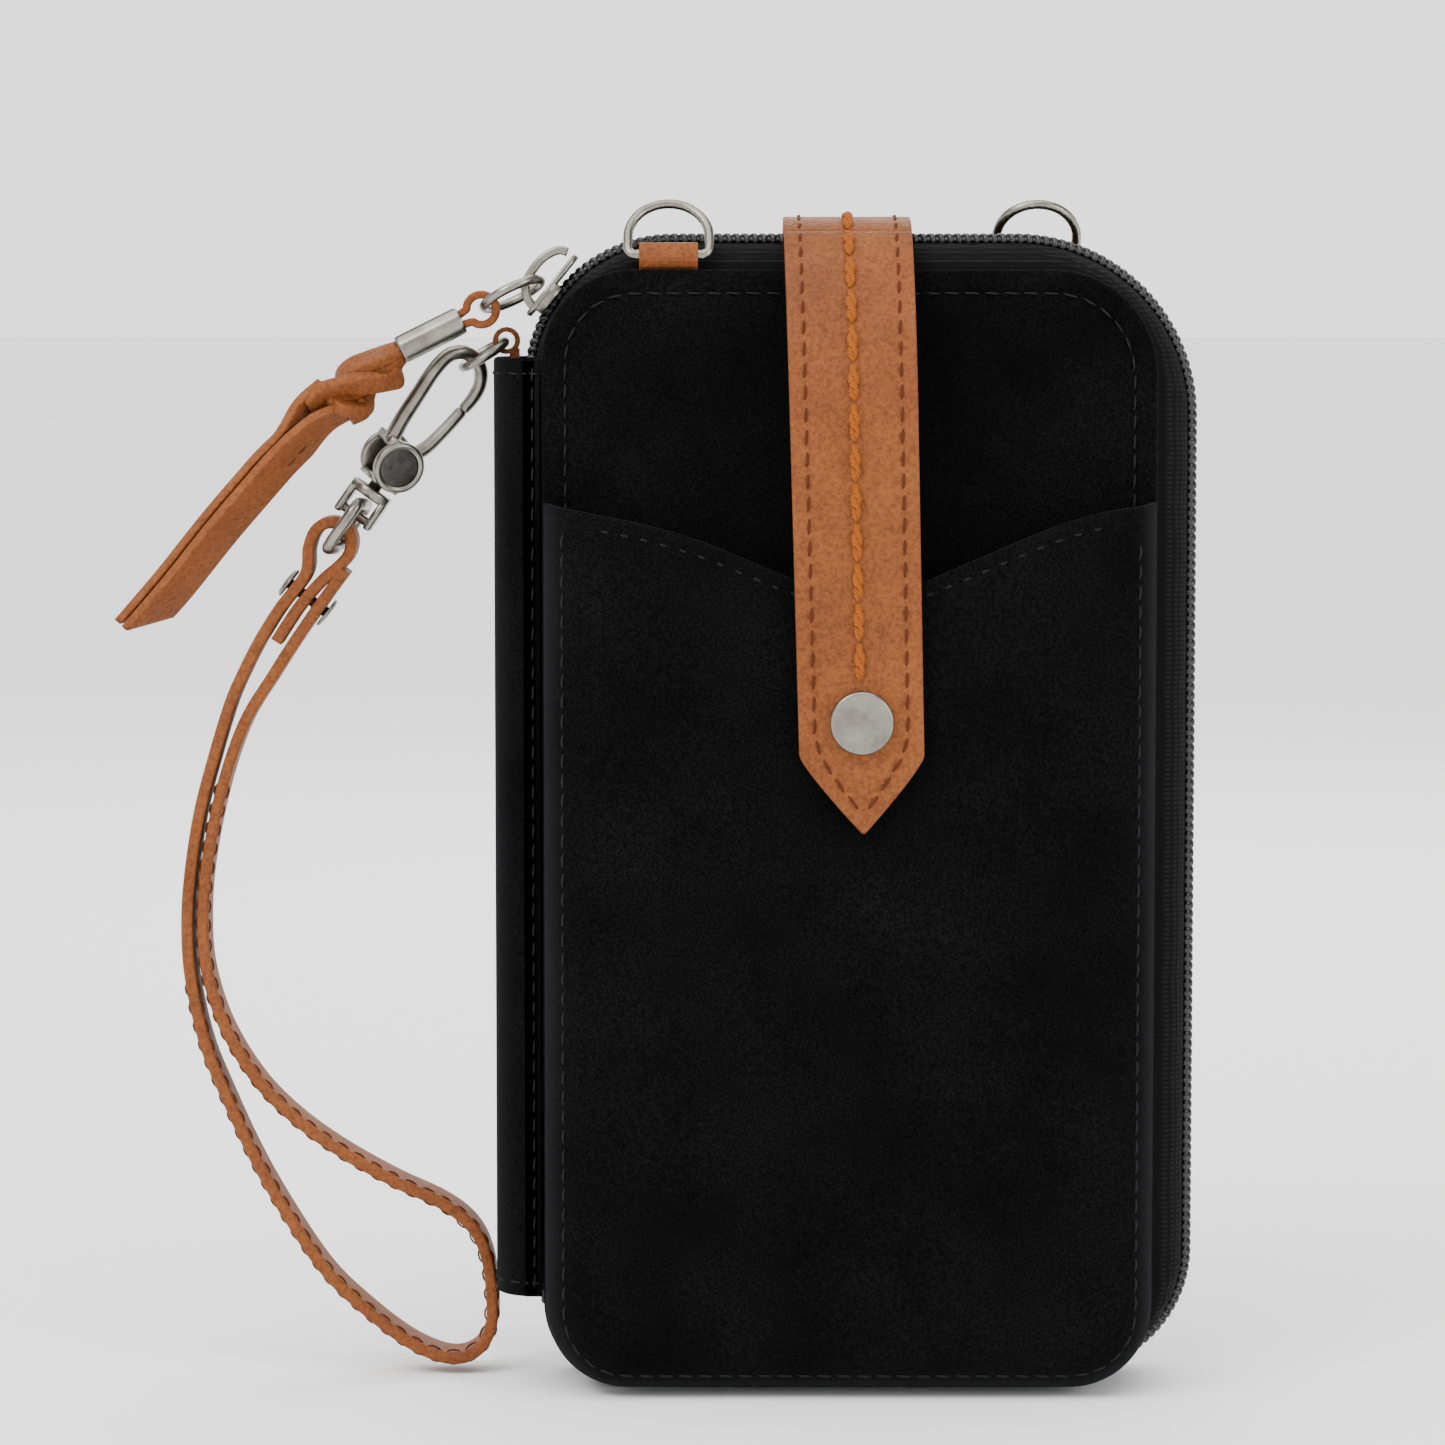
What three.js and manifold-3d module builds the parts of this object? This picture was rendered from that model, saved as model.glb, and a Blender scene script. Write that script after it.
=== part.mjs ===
// A zip-around wristlet wallet: two suede covers joined by a spine band, a coil zipper round three
// sides, an outer phone pocket held by a snap strap, two D-rings, and a leather wrist strap on a
// swivel clasp. Millimetres, +Z up, -Y is the front. The origin is on the base, under the zipper line.
import * as THREE from 'three';
import Module from 'manifold-3d';
import { mergeVertices } from 'three/addons/utils/BufferGeometryUtils.js';

const wasm = await Module();
wasm.setup();

// ---- driving dimensions ----
const DEG = Math.PI / 180;
const GAP = 0.3; // kept between pieces that touch
const ARC_STEPS = 8; // facets in each corner of the zipper

// Both outlines are rounded rectangles in the XZ plane; tl, tr, br and bl are corner radii.
const PANEL = { left: -46.5, right: 47.5, bottom: 0, top: 172, tl: 14, tr: 16, br: 13, bl: 13 };
const COIL = { left: -49.5, right: 54.2, bottom: 0, top: 177.6, tl: 23, tr: 28, br: 20, bl: 21 };

// Layers of one cover, as distances from the middle plane.
const COVER = { outer: 9.5, shell: 1.4 };
const BOARD = { outer: 7.7, inner: 6.8, inset: 7 };
const LINING = { outer: 6.5, inner: 5.9, inset: 3 };
const TAPE = { tuck: 1, edge: 7, coilSide: 2.6, thick: 0.6, inset: 1.6 };
const COIL_BAND = { halfWidth: 2.3, thick: 2 };
const POST_GAP = 0.75; // half the space that the slider's post has between the coils
const TAPE_END = { top: 138, bottom: 34 }; // where the zipper ends inside the spine band

const SPINE = { left: -54, right: -46.8, bottom: 13.8, top: 158.6, round: 6.5, thick: 1.2 };
const CARD = { left: -43, right: 44, bottom: 14, thick: 0.6, pitch: 0.9, first: 5.6 };
const CARD_TOPS = [128, 108, 88, 68];
const POCKET = { back: 9.8, front: 20, wall: 1.4, sideTop: 136, dip: 122.5 };

const STRAP = { width: 19.5, ply: 0.8, between: 0.3, shoulder: 98.6, tip: 87.2, topX: 0.15, tipX: 2.4 };
const SNAP = { x: 2.1, z: 104, capRadius: 4.8, bore: 2.3, stud: 1.85 };
const D_RING = { wire: 0.72, reach: 9.5, halfWidth: 6.2, lean: 35, y: 8.6, z: 174.2 };
const D_TAB = { halfWidth: 4.45, outer: 1.9, bore: 1.1, tangLow: 166.2 };
const D_RING_X = { left: -27.1, right: 29.7 };

const SLIDER = { angle: 141, half: 5.9, width: 4.5, low: 19, lowTop: 19.9, high: 24.25, plate: 0.9 };
const PULL_RING = { x: -51.2, y: -0.8, z: 168.2, radius: 4.8, wire: 0.7, slope: 26, tilt: 12 };
const PULL_LOOP = { x: -55.95, y: -1.2, z: 165.85, radius: 2.25, wire: 0.8 };
const FERRULE = { radius: 2.15, bore: 1.6 };
const TAIL = { width: 8, thick: 1.4, turn: 60, between: 0.35, skew: 2.8 };

const SIDE_RING = { x: -55.8, y: 4.25, z: 158.9, radius: 3.85, wire: 0.65, slope: 31, tilt: -7 };
const SPINE_LOOP = { x: -52.3, z: 161.05, outer: 2.1, bore: 1.35, y0: 2.9, y1: 5.6 };
const CLASP = {
  x: -70.1, y: 4.3, z: 142.3, lean: 35, turn: 30, wire: 1.2, disc: 4.1, cheekIn: 2.2, cheekOut: 3.5,
};
const SWIVEL = { turn: -5, wire: 0.9, half: 5.7, top: -7.95, bottom: -16.4, lug: 3.3, gap: 2.2, depth: 1.9 };
const WRIST = { width: 8.2, thick: 1.8, rivetX: -85.1, rivetZ: 122.6, slope: 51.5, strand: 2.3 };

// ---- materials ----
const finish = (color, roughness, metalness = 0) =>
  new THREE.MeshStandardMaterial({ color, roughness, metalness });
const MATERIAL = {
  suede: finish(0x0c0c0d, 0.95),
  lining: finish(0x2a2724, 0.85),
  board: finish(0x8a8378, 0.9),
  tape: finish(0x101011, 0.9),
  coil: finish(0x141415, 0.4),
  leather: finish(0xb46f3c, 0.55),
  accent: finish(0xa85a22, 0.6),
  metal: finish(0xb3aca0, 0.3, 1),
};

const wallet = new THREE.Group();

function add(name, geometry, material, parent = wallet) {
  const mesh = new THREE.Mesh(geometry, material);
  mesh.name = name;
  parent.add(mesh);
  return mesh;
}

// ---- solids: cutting and joining ----
function toSolid(geometry) {
  const bare = geometry.clone();
  bare.deleteAttribute('normal');
  bare.deleteAttribute('uv');
  const merged = mergeVertices(bare, 1e-4);
  return new wasm.Manifold(new wasm.Mesh({
    numProp: 3,
    vertProperties: new Float32Array(merged.attributes.position.array),
    triVerts: new Uint32Array(merged.index.array),
  }));
}

function toGeometry(solid) {
  const mesh = solid.getMesh();
  const geometry = new THREE.BufferGeometry();
  geometry.setAttribute('position', new THREE.BufferAttribute(mesh.vertProperties, 3));
  geometry.setIndex(new THREE.BufferAttribute(mesh.triVerts, 1));
  geometry.computeVertexNormals();
  return geometry;
}

const cut = (base, ...tools) =>
  toGeometry(tools.reduce((solid, tool) => solid.subtract(toSolid(tool)), toSolid(base)));
const join = (base, ...more) =>
  toGeometry(more.reduce((solid, piece) => solid.add(toSolid(piece)), toSolid(base)));

// ---- solids: basic shapes ----
function box(x0, x1, y0, y1, z0, z1) {
  const geometry = new THREE.BoxGeometry(x1 - x0, y1 - y0, z1 - z0);
  return geometry.translate((x0 + x1) / 2, (y0 + y1) / 2, (z0 + z1) / 2);
}

// A round bar between two points.
function bar(from, to, radius, sides = 10) {
  const line = new THREE.Vector3().subVectors(to, from);
  const geometry = new THREE.CylinderGeometry(radius, radius, line.length(), sides);
  const up = new THREE.Vector3(0, 1, 0);
  geometry.applyQuaternion(new THREE.Quaternion().setFromUnitVectors(up, line.clone().normalize()));
  const middle = from.clone().add(to).multiplyScalar(0.5);
  return geometry.translate(middle.x, middle.y, middle.z);
}

const v3 = (x, y, z) => new THREE.Vector3(x, y, z);
const barY = (x, z, y0, y1, radius, sides) => bar(v3(x, y0, z), v3(x, y1, z), radius, sides);

// An outline drawn in the XZ plane, made into a plate from y0 to y1.
function plate(shape, y0, y1) {
  const options = { depth: y1 - y0, bevelEnabled: false, curveSegments: ARC_STEPS };
  return new THREE.ExtrudeGeometry(shape, options).rotateX(Math.PI / 2).translate(0, y1, 0);
}

// A skin through rings of points, capped at both ends unless it closes on itself.
function loft(rings, closed = false) {
  const count = rings[0].length;
  const index = [];
  const spans = closed ? rings.length : rings.length - 1;
  for (let i = 0; i < spans; i++) {
    const a = i * count;
    const b = ((i + 1) % rings.length) * count;
    for (let j = 0; j < count; j++) {
      const k = (j + 1) % count;
      index.push(a + j, a + k, b + k, a + j, b + k, b + j);
    }
  }
  if (!closed) {
    const last = (rings.length - 1) * count;
    for (const [i, j, k] of capFaces(rings[0])) index.push(k, j, i);
    for (const [i, j, k] of capFaces(rings[rings.length - 1])) index.push(last + i, last + j, last + k);
  }
  const geometry = new THREE.BufferGeometry().setFromPoints(rings.flat());
  geometry.setIndex(index);
  if (volume(geometry) < 0) geometry.setIndex(index.reverse());
  geometry.computeVertexNormals();
  return geometry;
}

// Triangles over one ring, in the order of its own turn.
function capFaces(ring) {
  const normal = v3(0, 0, 0);
  ring.forEach((p, i) => normal.add(v3(0, 0, 0).crossVectors(p, ring[(i + 1) % ring.length])));
  normal.normalize();
  const side = ring[1].clone().sub(ring[0]);
  side.addScaledVector(normal, -side.dot(normal)).normalize();
  const up = v3(0, 0, 0).crossVectors(normal, side);
  const flat = ring.map((p) => new THREE.Vector2(p.dot(side), p.dot(up)));
  return THREE.ShapeUtils.triangulateShape(flat, []);
}

function volume(geometry) {
  const p = geometry.attributes.position;
  const index = geometry.index.array;
  const at = (i) => v3(0, 0, 0).fromBufferAttribute(p, index[i]);
  let sum = 0;
  for (let i = 0; i < index.length; i += 3) sum += at(i).dot(at(i + 1).cross(at(i + 2)));
  return sum;
}

// Unit directions along a line of points.
function tangents(points, closed = false) {
  const n = points.length;
  return points.map((p, i) => {
    const before = points[closed ? (i - 1 + n) % n : Math.max(i - 1, 0)];
    const after = points[closed ? (i + 1) % n : Math.min(i + 1, n - 1)];
    return after.clone().sub(before).normalize();
  });
}

// A flat strip along a line: side is the direction of its width, lift moves it off the line, and
// skew slants its last edge.
function ribbon(points, side, width, thick, lift = 0, skew = 0) {
  const along = tangents(points);
  const rings = points.map((p, i) => {
    const out = v3(0, 0, 0).crossVectors(side, along[i]).normalize();
    const half = (typeof width === 'function' ? width(p) : width) / 2;
    const slant = i === points.length - 1 ? skew : 0;
    const corner = (s, o) => p.clone().addScaledVector(side, s * half)
      .addScaledVector(out, lift + (o * thick) / 2).addScaledVector(along[i], -s * slant);
    return [corner(-1, -1), corner(1, -1), corner(1, 1), corner(-1, 1)];
  });
  return loft(rings);
}

// A round rod along a line that lies in one plane, whose normal is given.
function rod(points, normal, radius, sides, closed = false) {
  const along = tangents(points, closed);
  const rings = points.map((p, i) => {
    const out = v3(0, 0, 0).crossVectors(normal, along[i]).normalize();
    return Array.from({ length: sides }, (_, k) => {
      const a = (k / sides) * 2 * Math.PI;
      return p.clone().addScaledVector(out, radius * Math.cos(a))
        .addScaledVector(normal, radius * Math.sin(a));
    });
  });
  return loft(rings, closed);
}

const smooth = (points, steps) =>
  new THREE.CatmullRomCurve3(points, false, 'centripetal').getSpacedPoints(steps);
const inXZ = (pairs, y = 0) => pairs.map(([x, z]) => v3(x, y, z));

// ---- outlines of the covers and the zipper ----
function outline(box, inset) {
  const shape = new THREE.Shape();
  const [l, r, b, t] = [box.left + inset, box.right - inset, box.bottom + inset, box.top - inset];
  const [tl, tr, br, bl] = [box.tl, box.tr, box.br, box.bl].map((radius) => Math.max(radius - inset, 2));
  shape.moveTo(l, b + bl);
  shape.absarc(l + bl, b + bl, bl, 180 * DEG, 270 * DEG);
  shape.absarc(r - br, b + br, br, 270 * DEG, 360 * DEG);
  shape.absarc(r - tr, t - tr, tr, 0, 90 * DEG);
  shape.absarc(l + tl, t - tl, tl, 90 * DEG, 180 * DEG);
  shape.closePath();
  return shape;
}

// The same outline as points with outward directions, open at the spine: up the left side, over
// the top, down the right side, along the base, and back up to the spine.
function rail(box) {
  const points = [{ x: box.left, z: TAPE_END.top, nx: -1, nz: 0 }];
  const corners = [
    [box.left + box.tl, box.top - box.tl, box.tl, 180],
    [box.right - box.tr, box.top - box.tr, box.tr, 90],
    [box.right - box.br, box.bottom + box.br, box.br, 0],
    [box.left + box.bl, box.bottom + box.bl, box.bl, -90],
  ];
  for (const [cx, cz, radius, start] of corners) {
    for (let i = 0; i <= ARC_STEPS; i++) {
      const a = (start - (90 * i) / ARC_STEPS) * DEG;
      const [nx, nz] = [Math.cos(a), Math.sin(a)];
      points.push({ x: cx + radius * nx, z: cz + radius * nz, nx, nz });
    }
  }
  points.push({ x: box.left, z: TAPE_END.bottom, nx: -1, nz: 0 });
  return points;
}

const coilRail = rail(COIL);
const panelRail = rail(PANEL);
const SLIDER_ZONE = ARC_STEPS + 1; // rail points before the end of the top left corner

// The tape bulges from behind the cover's edge to the coil, as a quarter of an ellipse.
function tape(face) {
  const profile = [0, 30, 60, 90];
  const rings = coilRail.map((c, i) => {
    const edge = panelRail[i];
    const tuck = [edge.x - edge.nx * TAPE.tuck, edge.z - edge.nz * TAPE.tuck];
    const point = (inset, startDepth, angle) => {
      const goal = [c.x - c.nx * inset, c.z - c.nz * inset];
      const s = Math.sin(angle * DEG);
      const depth = startDepth - (startDepth - TAPE.coilSide) * (1 - Math.cos(angle * DEG));
      return v3(tuck[0] + (goal[0] - tuck[0]) * s, face * depth, tuck[1] + (goal[1] - tuck[1]) * s);
    };
    const outer = profile.map((a) => point(TAPE.inset, TAPE.edge, a));
    const inner = profile.map((a) => point(TAPE.inset + TAPE.thick, TAPE.edge - TAPE.thick, a));
    return [...outer, ...inner.reverse()];
  });
  return loft(rings);
}

// One side of the chain. Its inner edge stands back where the slider's post runs.
function coil(inner, outer) {
  const rings = coilRail.map((c, i) => {
    const edge = i <= SLIDER_ZONE ? Math.sign(outer) * POST_GAP : inner;
    const at = (inset, y) => v3(c.x - c.nx * inset, y, c.z - c.nz * inset);
    return [at(0, edge), at(0, outer), at(COIL_BAND.thick, outer), at(COIL_BAND.thick, edge)];
  });
  return loft(rings);
}

// ---- the two covers ----
function cover(side, face) {
  const layer = (inset, a, b) => plate(
    outline(PANEL, inset), Math.min(face * a, face * b), Math.max(face * a, face * b));
  add(`${side}_panel`, layer(0, COVER.outer, COVER.outer - COVER.shell), MATERIAL.suede);
  add(`${side}_board`, layer(BOARD.inset, BOARD.outer, BOARD.inner), MATERIAL.board);
  add(`${side}_lining`, layer(LINING.inset, LINING.outer, LINING.inner), MATERIAL.lining);
  add(`zipper_tape_${side}`, tape(face), MATERIAL.tape);
}

function interior() {
  CARD_TOPS.forEach((top, i) => {
    const y = CARD.first - i * CARD.pitch;
    const slot = box(CARD.left, CARD.right, y - CARD.thick, y, CARD.bottom, top);
    add(`card_slot_${i + 1}`, slot, MATERIAL.lining);
  });
  const depth = LINING.inner - GAP;
  const slip = box(CARD.left, CARD.right, -depth, -depth + CARD.thick, CARD.bottom, 112);
  add('inner_slip_pocket', slip, MATERIAL.lining);
}

// The spine band is a U round the left side, open to the right.
function spine() {
  const wrap = (left, half, round) => {
    const corner = (cy, start) => Array.from({ length: 5 }, (_, i) => {
      const a = (start + (90 * i) / 4) * DEG;
      return [left + round + round * Math.cos(a), cy + round * Math.sin(a)];
    });
    return [...corner(half - round, 90), ...corner(round - half, 180)];
  };
  const outer = wrap(SPINE.left, COVER.outer, SPINE.round);
  const inner = wrap(SPINE.left + SPINE.thick, COVER.outer - SPINE.thick, SPINE.round - SPINE.thick);
  const section = [
    [SPINE.right, COVER.outer], ...outer, [SPINE.right, -COVER.outer],
    [SPINE.right, -COVER.outer + SPINE.thick], ...inner.reverse(), [SPINE.right, COVER.outer - SPINE.thick],
  ];
  const ring = (z) => section.map(([x, y]) => v3(x, y, z));
  add('spine_band', loft([ring(SPINE.bottom), ring(SPINE.top)]), MATERIAL.suede);
}

// ---- the phone pocket: a shallow tray on the front cover, open at the top ----
function pocket() {
  const ring = (inset, y) => {
    const points = outline(PANEL, inset).getPoints(ARC_STEPS - 2);
    return points.slice(0, -1).map((p) => v3(p.x, y, p.y));
  };
  const shell = loft([ring(0.3, -POCKET.back), ring(0.8, -15), ring(2.8, -18.6), ring(6.5, -POCKET.front)]);
  const inside = POCKET.front - POCKET.wall;
  const room = loft([ring(1.7, -POCKET.back + 1), ring(2.3, -14.6), ring(4, -17.6), ring(7, -inside)]);
  const mouth = new THREE.Shape();
  mouth.moveTo(PANEL.left - 5, POCKET.sideTop);
  mouth.bezierCurveTo(-34, POCKET.sideTop - 1, -22, 131, SNAP.x, POCKET.dip);
  mouth.bezierCurveTo(24, 131, 36, POCKET.sideTop - 1, PANEL.right + 5, POCKET.sideTop);
  mouth.lineTo(PANEL.right + 5, PANEL.top + 5);
  mouth.lineTo(PANEL.left - 5, PANEL.top + 5);
  const studBore = barY(SNAP.x, SNAP.z, -POCKET.front - 1, -inside + 1, 2.2, 14);
  add('phone_pocket', cut(shell, room, plate(mouth, -POCKET.front - 1, 0), studBore), MATERIAL.suede);
  const post = barY(SNAP.x, SNAP.z, -POCKET.front - 0.9, -inside + 0.5, SNAP.stud, 14);
  add('snap_stud', join(post, barY(SNAP.x, SNAP.z, -inside + GAP, -inside + 0.7, 4, 16)), MATERIAL.metal);
}

// ---- the closure strap: up the back, over the zipper, and down to the snap ----
const STRAP_LINE = [
  [10.85, 132], [10.85, 150], [10.85, 166], [10.75, 172.6], [8.6, 176.6], [3.5, 178.95], [-2, 179],
  [-6.5, 178], [-10.8, 175.1], [-15, 170.2], [-18.6, 163.5], [-20.9, 155], [-21.35, 146],
  [-21.35, 120], [-21.35, 87.2],
];
const STRAP_Y = -21.35;
const STRAP_HINGES = { top: 2, front: 167 }; // Y of the top bend and Z of the front bend

function strapX(z) {
  return THREE.MathUtils.mapLinear(z, COIL.top, STRAP.tip, STRAP.topX, STRAP.tipX);
}

function strapPoints() {
  const line = STRAP_LINE.map(([y, z]) => v3(0, y, z));
  const points = smooth(line, 90);
  const back = points.filter((p) => p.y > STRAP_HINGES.top + 0.2);
  const front = points.filter((p) => p.y < -5 && p.z < STRAP_HINGES.front - 0.2);
  const middle = points.filter((p) => p.y < STRAP_HINGES.top - 0.2 && p.z > STRAP_HINGES.front + 0.2);
  const place = (p) => v3(strapX(p.y > 0 ? COIL.top : p.z), p.y, p.z);
  return [back, middle, front].map((list) => list.map(place));
}

// Keeps both ends of a line and the points between them that are wanted.
const thin = (points, keep) => points.filter((p, i) => i === 0 || i === points.length - 1 || keep(p, i));

function strap() {
  const [back, middle, front] = strapPoints();
  const across = v3(1, 0, 0);
  const bends = (p, i) => i % 2 === 0 && p.z > 148;
  const width = (p) => {
    if (p.z > STRAP.shoulder || p.y > 0) return STRAP.width;
    return THREE.MathUtils.mapLinear(p.z, STRAP.shoulder, STRAP.tip, STRAP.width, 1);
  };
  const whole = 2 * STRAP.ply + STRAP.between;
  add('strap_anchor', ribbon(thin(back, bends), across, STRAP.width, whole), MATERIAL.leather);
  add('strap_bridge', ribbon(thin(middle, bends), across, STRAP.width, whole), MATERIAL.leather);

  const shoulder = v3(strapX(STRAP.shoulder), STRAP_Y, STRAP.shoulder);
  const line = [...thin(front, bends).slice(0, -1), shoulder, front[front.length - 1]];
  const lift = (STRAP.ply + STRAP.between) / 2;
  const hole = (radius) => barY(SNAP.x, SNAP.z, -26, -16, radius, 16);
  add('strap_face', cut(ribbon(line, across, width, STRAP.ply, -lift), hole(1.5)), MATERIAL.leather);
  add('strap_backing', cut(ribbon(line, across, width, STRAP.ply, lift), hole(4.2)), MATERIAL.leather);

  const outside = whole / 2;
  const cordEnds = [v3(strapX(163), -18.9, 163), v3(strapX(110.5), STRAP_Y, 110.5)];
  const cordLine = [...line.filter((p) => p.z < 163 && p.z > 112), cordEnds[1]];
  add('strap_accent_cord', ribbon(cordLine, across, 1.3, 0.9, -(outside + 0.75)), MATERIAL.accent);

  const face = STRAP_Y - outside;
  const disc = [[0, 0], [SNAP.capRadius, 0], [SNAP.capRadius, 1.1], [SNAP.capRadius - 0.5, 1.5], [0, 1.6]];
  const cap = new THREE.LatheGeometry(disc.map(([r, h]) => new THREE.Vector2(r, h)), 20);
  cap.rotateX(Math.PI).translate(SNAP.x, face - GAP, SNAP.z);
  const post = barY(SNAP.x, SNAP.z, face - 0.6, face + STRAP.ply + 0.1, 1.2, 12);
  add('snap_cap', join(cap, post), MATERIAL.metal);
  const socketBack = STRAP_Y + STRAP.between / 2;
  const socket = barY(SNAP.x, SNAP.z, socketBack, socketBack + STRAP.ply, 3.9, 16);
  add('snap_socket', cut(socket, hole(SNAP.bore)), MATERIAL.metal);
}

// ---- D-rings: each hangs on a leather loop whose tang is held between cover and zipper tape ----
const arc = (cx, cz, radius, from, to, steps) => Array.from({ length: steps + 1 }, (_, i) => {
  const a = (from + ((to - from) * i) / steps) * DEG;
  return v3(cx + radius * Math.cos(a), 0, cz + radius * Math.sin(a));
});

function dRing(side, face, x) {
  const { halfWidth, reach, wire, lean, y, z } = D_RING;
  const [left, right] = [-1, 1].map((side) => v3(x + side * D_TAB.halfWidth, face * y, z));
  const tube = (radius) => bar(left, right, radius, 18);
  const bore = bar(v3(x - 9, face * y, z), v3(x + 9, face * y, z), D_TAB.bore, 18);
  const ys = [face * 7.3, face * 7.8].sort((a, b) => a - b);
  const tang = box(x - D_TAB.halfWidth, x + D_TAB.halfWidth, ys[0], ys[1], D_TAB.tangLow, z - 1.2);
  add(`d_ring_tab_${side}`, cut(join(tube(D_TAB.outer), tang), bore), MATERIAL.leather);
  const bend = 1.2;
  const path = [
    ...arc(0, reach - halfWidth, halfWidth, 180, 0, 12),
    ...arc(halfWidth - bend, bend, bend, 0, -90, 3),
    ...arc(bend - halfWidth, bend, bend, -90, -180, 3),
  ];
  const ring = rod(path, v3(0, 1, 0), wire, 8, true);
  ring.rotateX(face * lean * DEG).translate(x, face * y, z);
  add(`d_ring_${side}`, ring, MATERIAL.metal);
}

// ---- zipper slider, its split bridge and the pull ----
const sliderFrame = new THREE.Matrix4()
  .makeTranslation(COIL.left + COIL.tl, 0, COIL.top - COIL.tl)
  .multiply(new THREE.Matrix4().makeRotationY((90 - SLIDER.angle) * DEG));

// In the slider's own frame X runs along the chain and Z is the distance from the corner's centre.
function slider() {
  const { half, width, low, lowTop, high, plate: t } = SLIDER;
  const body = box(-half, half, -width, width, high - t, high);
  const lower = box(-4.6, 4.6, -4, 4, low, lowTop);
  const post = box(-4.6, -3.4, -0.45, 0.45, lowTop - 0.4, high - 0.4);
  const flange = (face) => box(
    -5.2, 5.2, Math.min(face * 3.7, face * width), Math.max(face * 3.7, face * width), 22.2, high - 0.5);
  const hook = [[-4.4, 24], [-3.9, 25.6], [-2.4, 27.1], [0, 27.6], [2.6, 27.5], [4.7, 26.5], [5.4, 25.2]];
  const bridge = ribbon(smooth(inXZ(hook), 14), v3(0, 1, 0), 2.2, 1.2);
  const whole = join(body, lower, post, flange(1), flange(-1), bridge);
  add('zip_slider_body', whole.applyMatrix4(sliderFrame), MATERIAL.metal);
}

function ringAt({ x, y, z, radius, wire, slope, tilt }) {
  const ring = mergeVertices(new THREE.TorusGeometry(radius, wire, 8, 24).deleteAttribute('uv'));
  return ring.rotateX(-tilt * DEG).rotateY(-slope * DEG).translate(x, y, z);
}

function pull() {
  add('pull_ring', ringAt(PULL_RING), MATERIAL.metal);
  const [loopStart, ferruleStart] = [v3(-57.9, -1.25, 164.9), v3(-59, -1.3, 164.3)];
  const [loopEnd, ferruleEnd] = [v3(-61, -1.5, 163.3), v3(-68.4, -2.3, 159.6)];
  const ring = new THREE.TorusGeometry(PULL_LOOP.radius, PULL_LOOP.wire, 8, 20);
  ring.rotateX(Math.PI / 2).translate(PULL_LOOP.x, PULL_LOOP.y, PULL_LOOP.z);
  add('pull_loop', join(ring, bar(loopStart, loopEnd, 1.25, 12)), MATERIAL.leather);
  const along = ferruleEnd.clone().sub(ferruleStart).normalize();
  const past = (p, d) => p.clone().addScaledVector(along, d);
  const bore = bar(past(ferruleStart, -1), past(ferruleEnd, 1), FERRULE.bore, 20);
  add('pull_ferrule', cut(bar(ferruleStart, ferruleEnd, FERRULE.radius, 20), bore), MATERIAL.metal);

  // The knot is a two-lobed bundle that twists as it goes.
  const knotLine = [[-69.4, -2.4, 158.9, 1.9], [-71, -2.5, 157.6, 3], [-73, -2.7, 156.1, 3.7],
    [-75, -2.8, 154.9, 3.7], [-76.6, -2.9, 153.9, 3.4], [-77.6, -3, 153.3, 2.7]];
  const across = v3(-0.56, 0, 0.83);
  const rings = knotLine.map(([x, y, z, r], i) => Array.from({ length: 14 }, (_, k) => {
    const a = (k / 14) * 2 * Math.PI;
    const lobe = r * (1 + 0.22 * Math.cos(2 * (a - i * 0.8)));
    return v3(x, y + 0.8 * lobe * Math.sin(a), z).addScaledVector(across, lobe * Math.cos(a));
  }));
  const stem = bar(past(ferruleEnd, -4), v3(-70.4, -2.45, 158.2), 1.25, 12);
  add('pull_knot', join(loft(rings), stem), MATERIAL.leather);

  const turn = TAIL.turn * DEG;
  const side = v3(0.764 * Math.cos(turn), Math.sin(turn), -0.645 * Math.cos(turn)).normalize();
  const run = [[-84, 145], [-88.5, 140.5], [-97, 130.3], [-107.3, 118]];
  const tail = (start, lift) => {
    const points = smooth(inXZ([...start, ...run], -3.4), 16);
    return ribbon(points, side, TAIL.width, TAIL.thick, lift, TAIL.skew);
  };
  add('pull_tail_front', tail([[-77.6, 150], [-80.2, 148.6]], 0), MATERIAL.leather);
  add('pull_tail_back', tail([[-79.6, 152.4], [-81.6, 149.6]], TAIL.thick + TAIL.between), MATERIAL.leather);
}

// ---- side ring, trigger clasp and swivel ----
function sideRing() {
  const { x, z, outer, bore, y0, y1 } = SPINE_LOOP;
  const eye = join(barY(x, z, y0, y1, outer, 18), box(x + 0.5, x + 2, y0, y1, 150, z - 1.2));
  add('spine_loop', cut(eye, barY(x, z, y0 - 1, y1 + 1, bore, 18)), MATERIAL.leather);
  add('side_ring', ringAt(SIDE_RING), MATERIAL.metal);
}

const claspFrame = (turn) => new THREE.Matrix4()
  .makeTranslation(CLASP.x, CLASP.y, CLASP.z)
  .multiply(new THREE.Matrix4().makeRotationY(CLASP.lean * DEG))
  .multiply(new THREE.Matrix4().makeRotationZ(turn * DEG));

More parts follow.
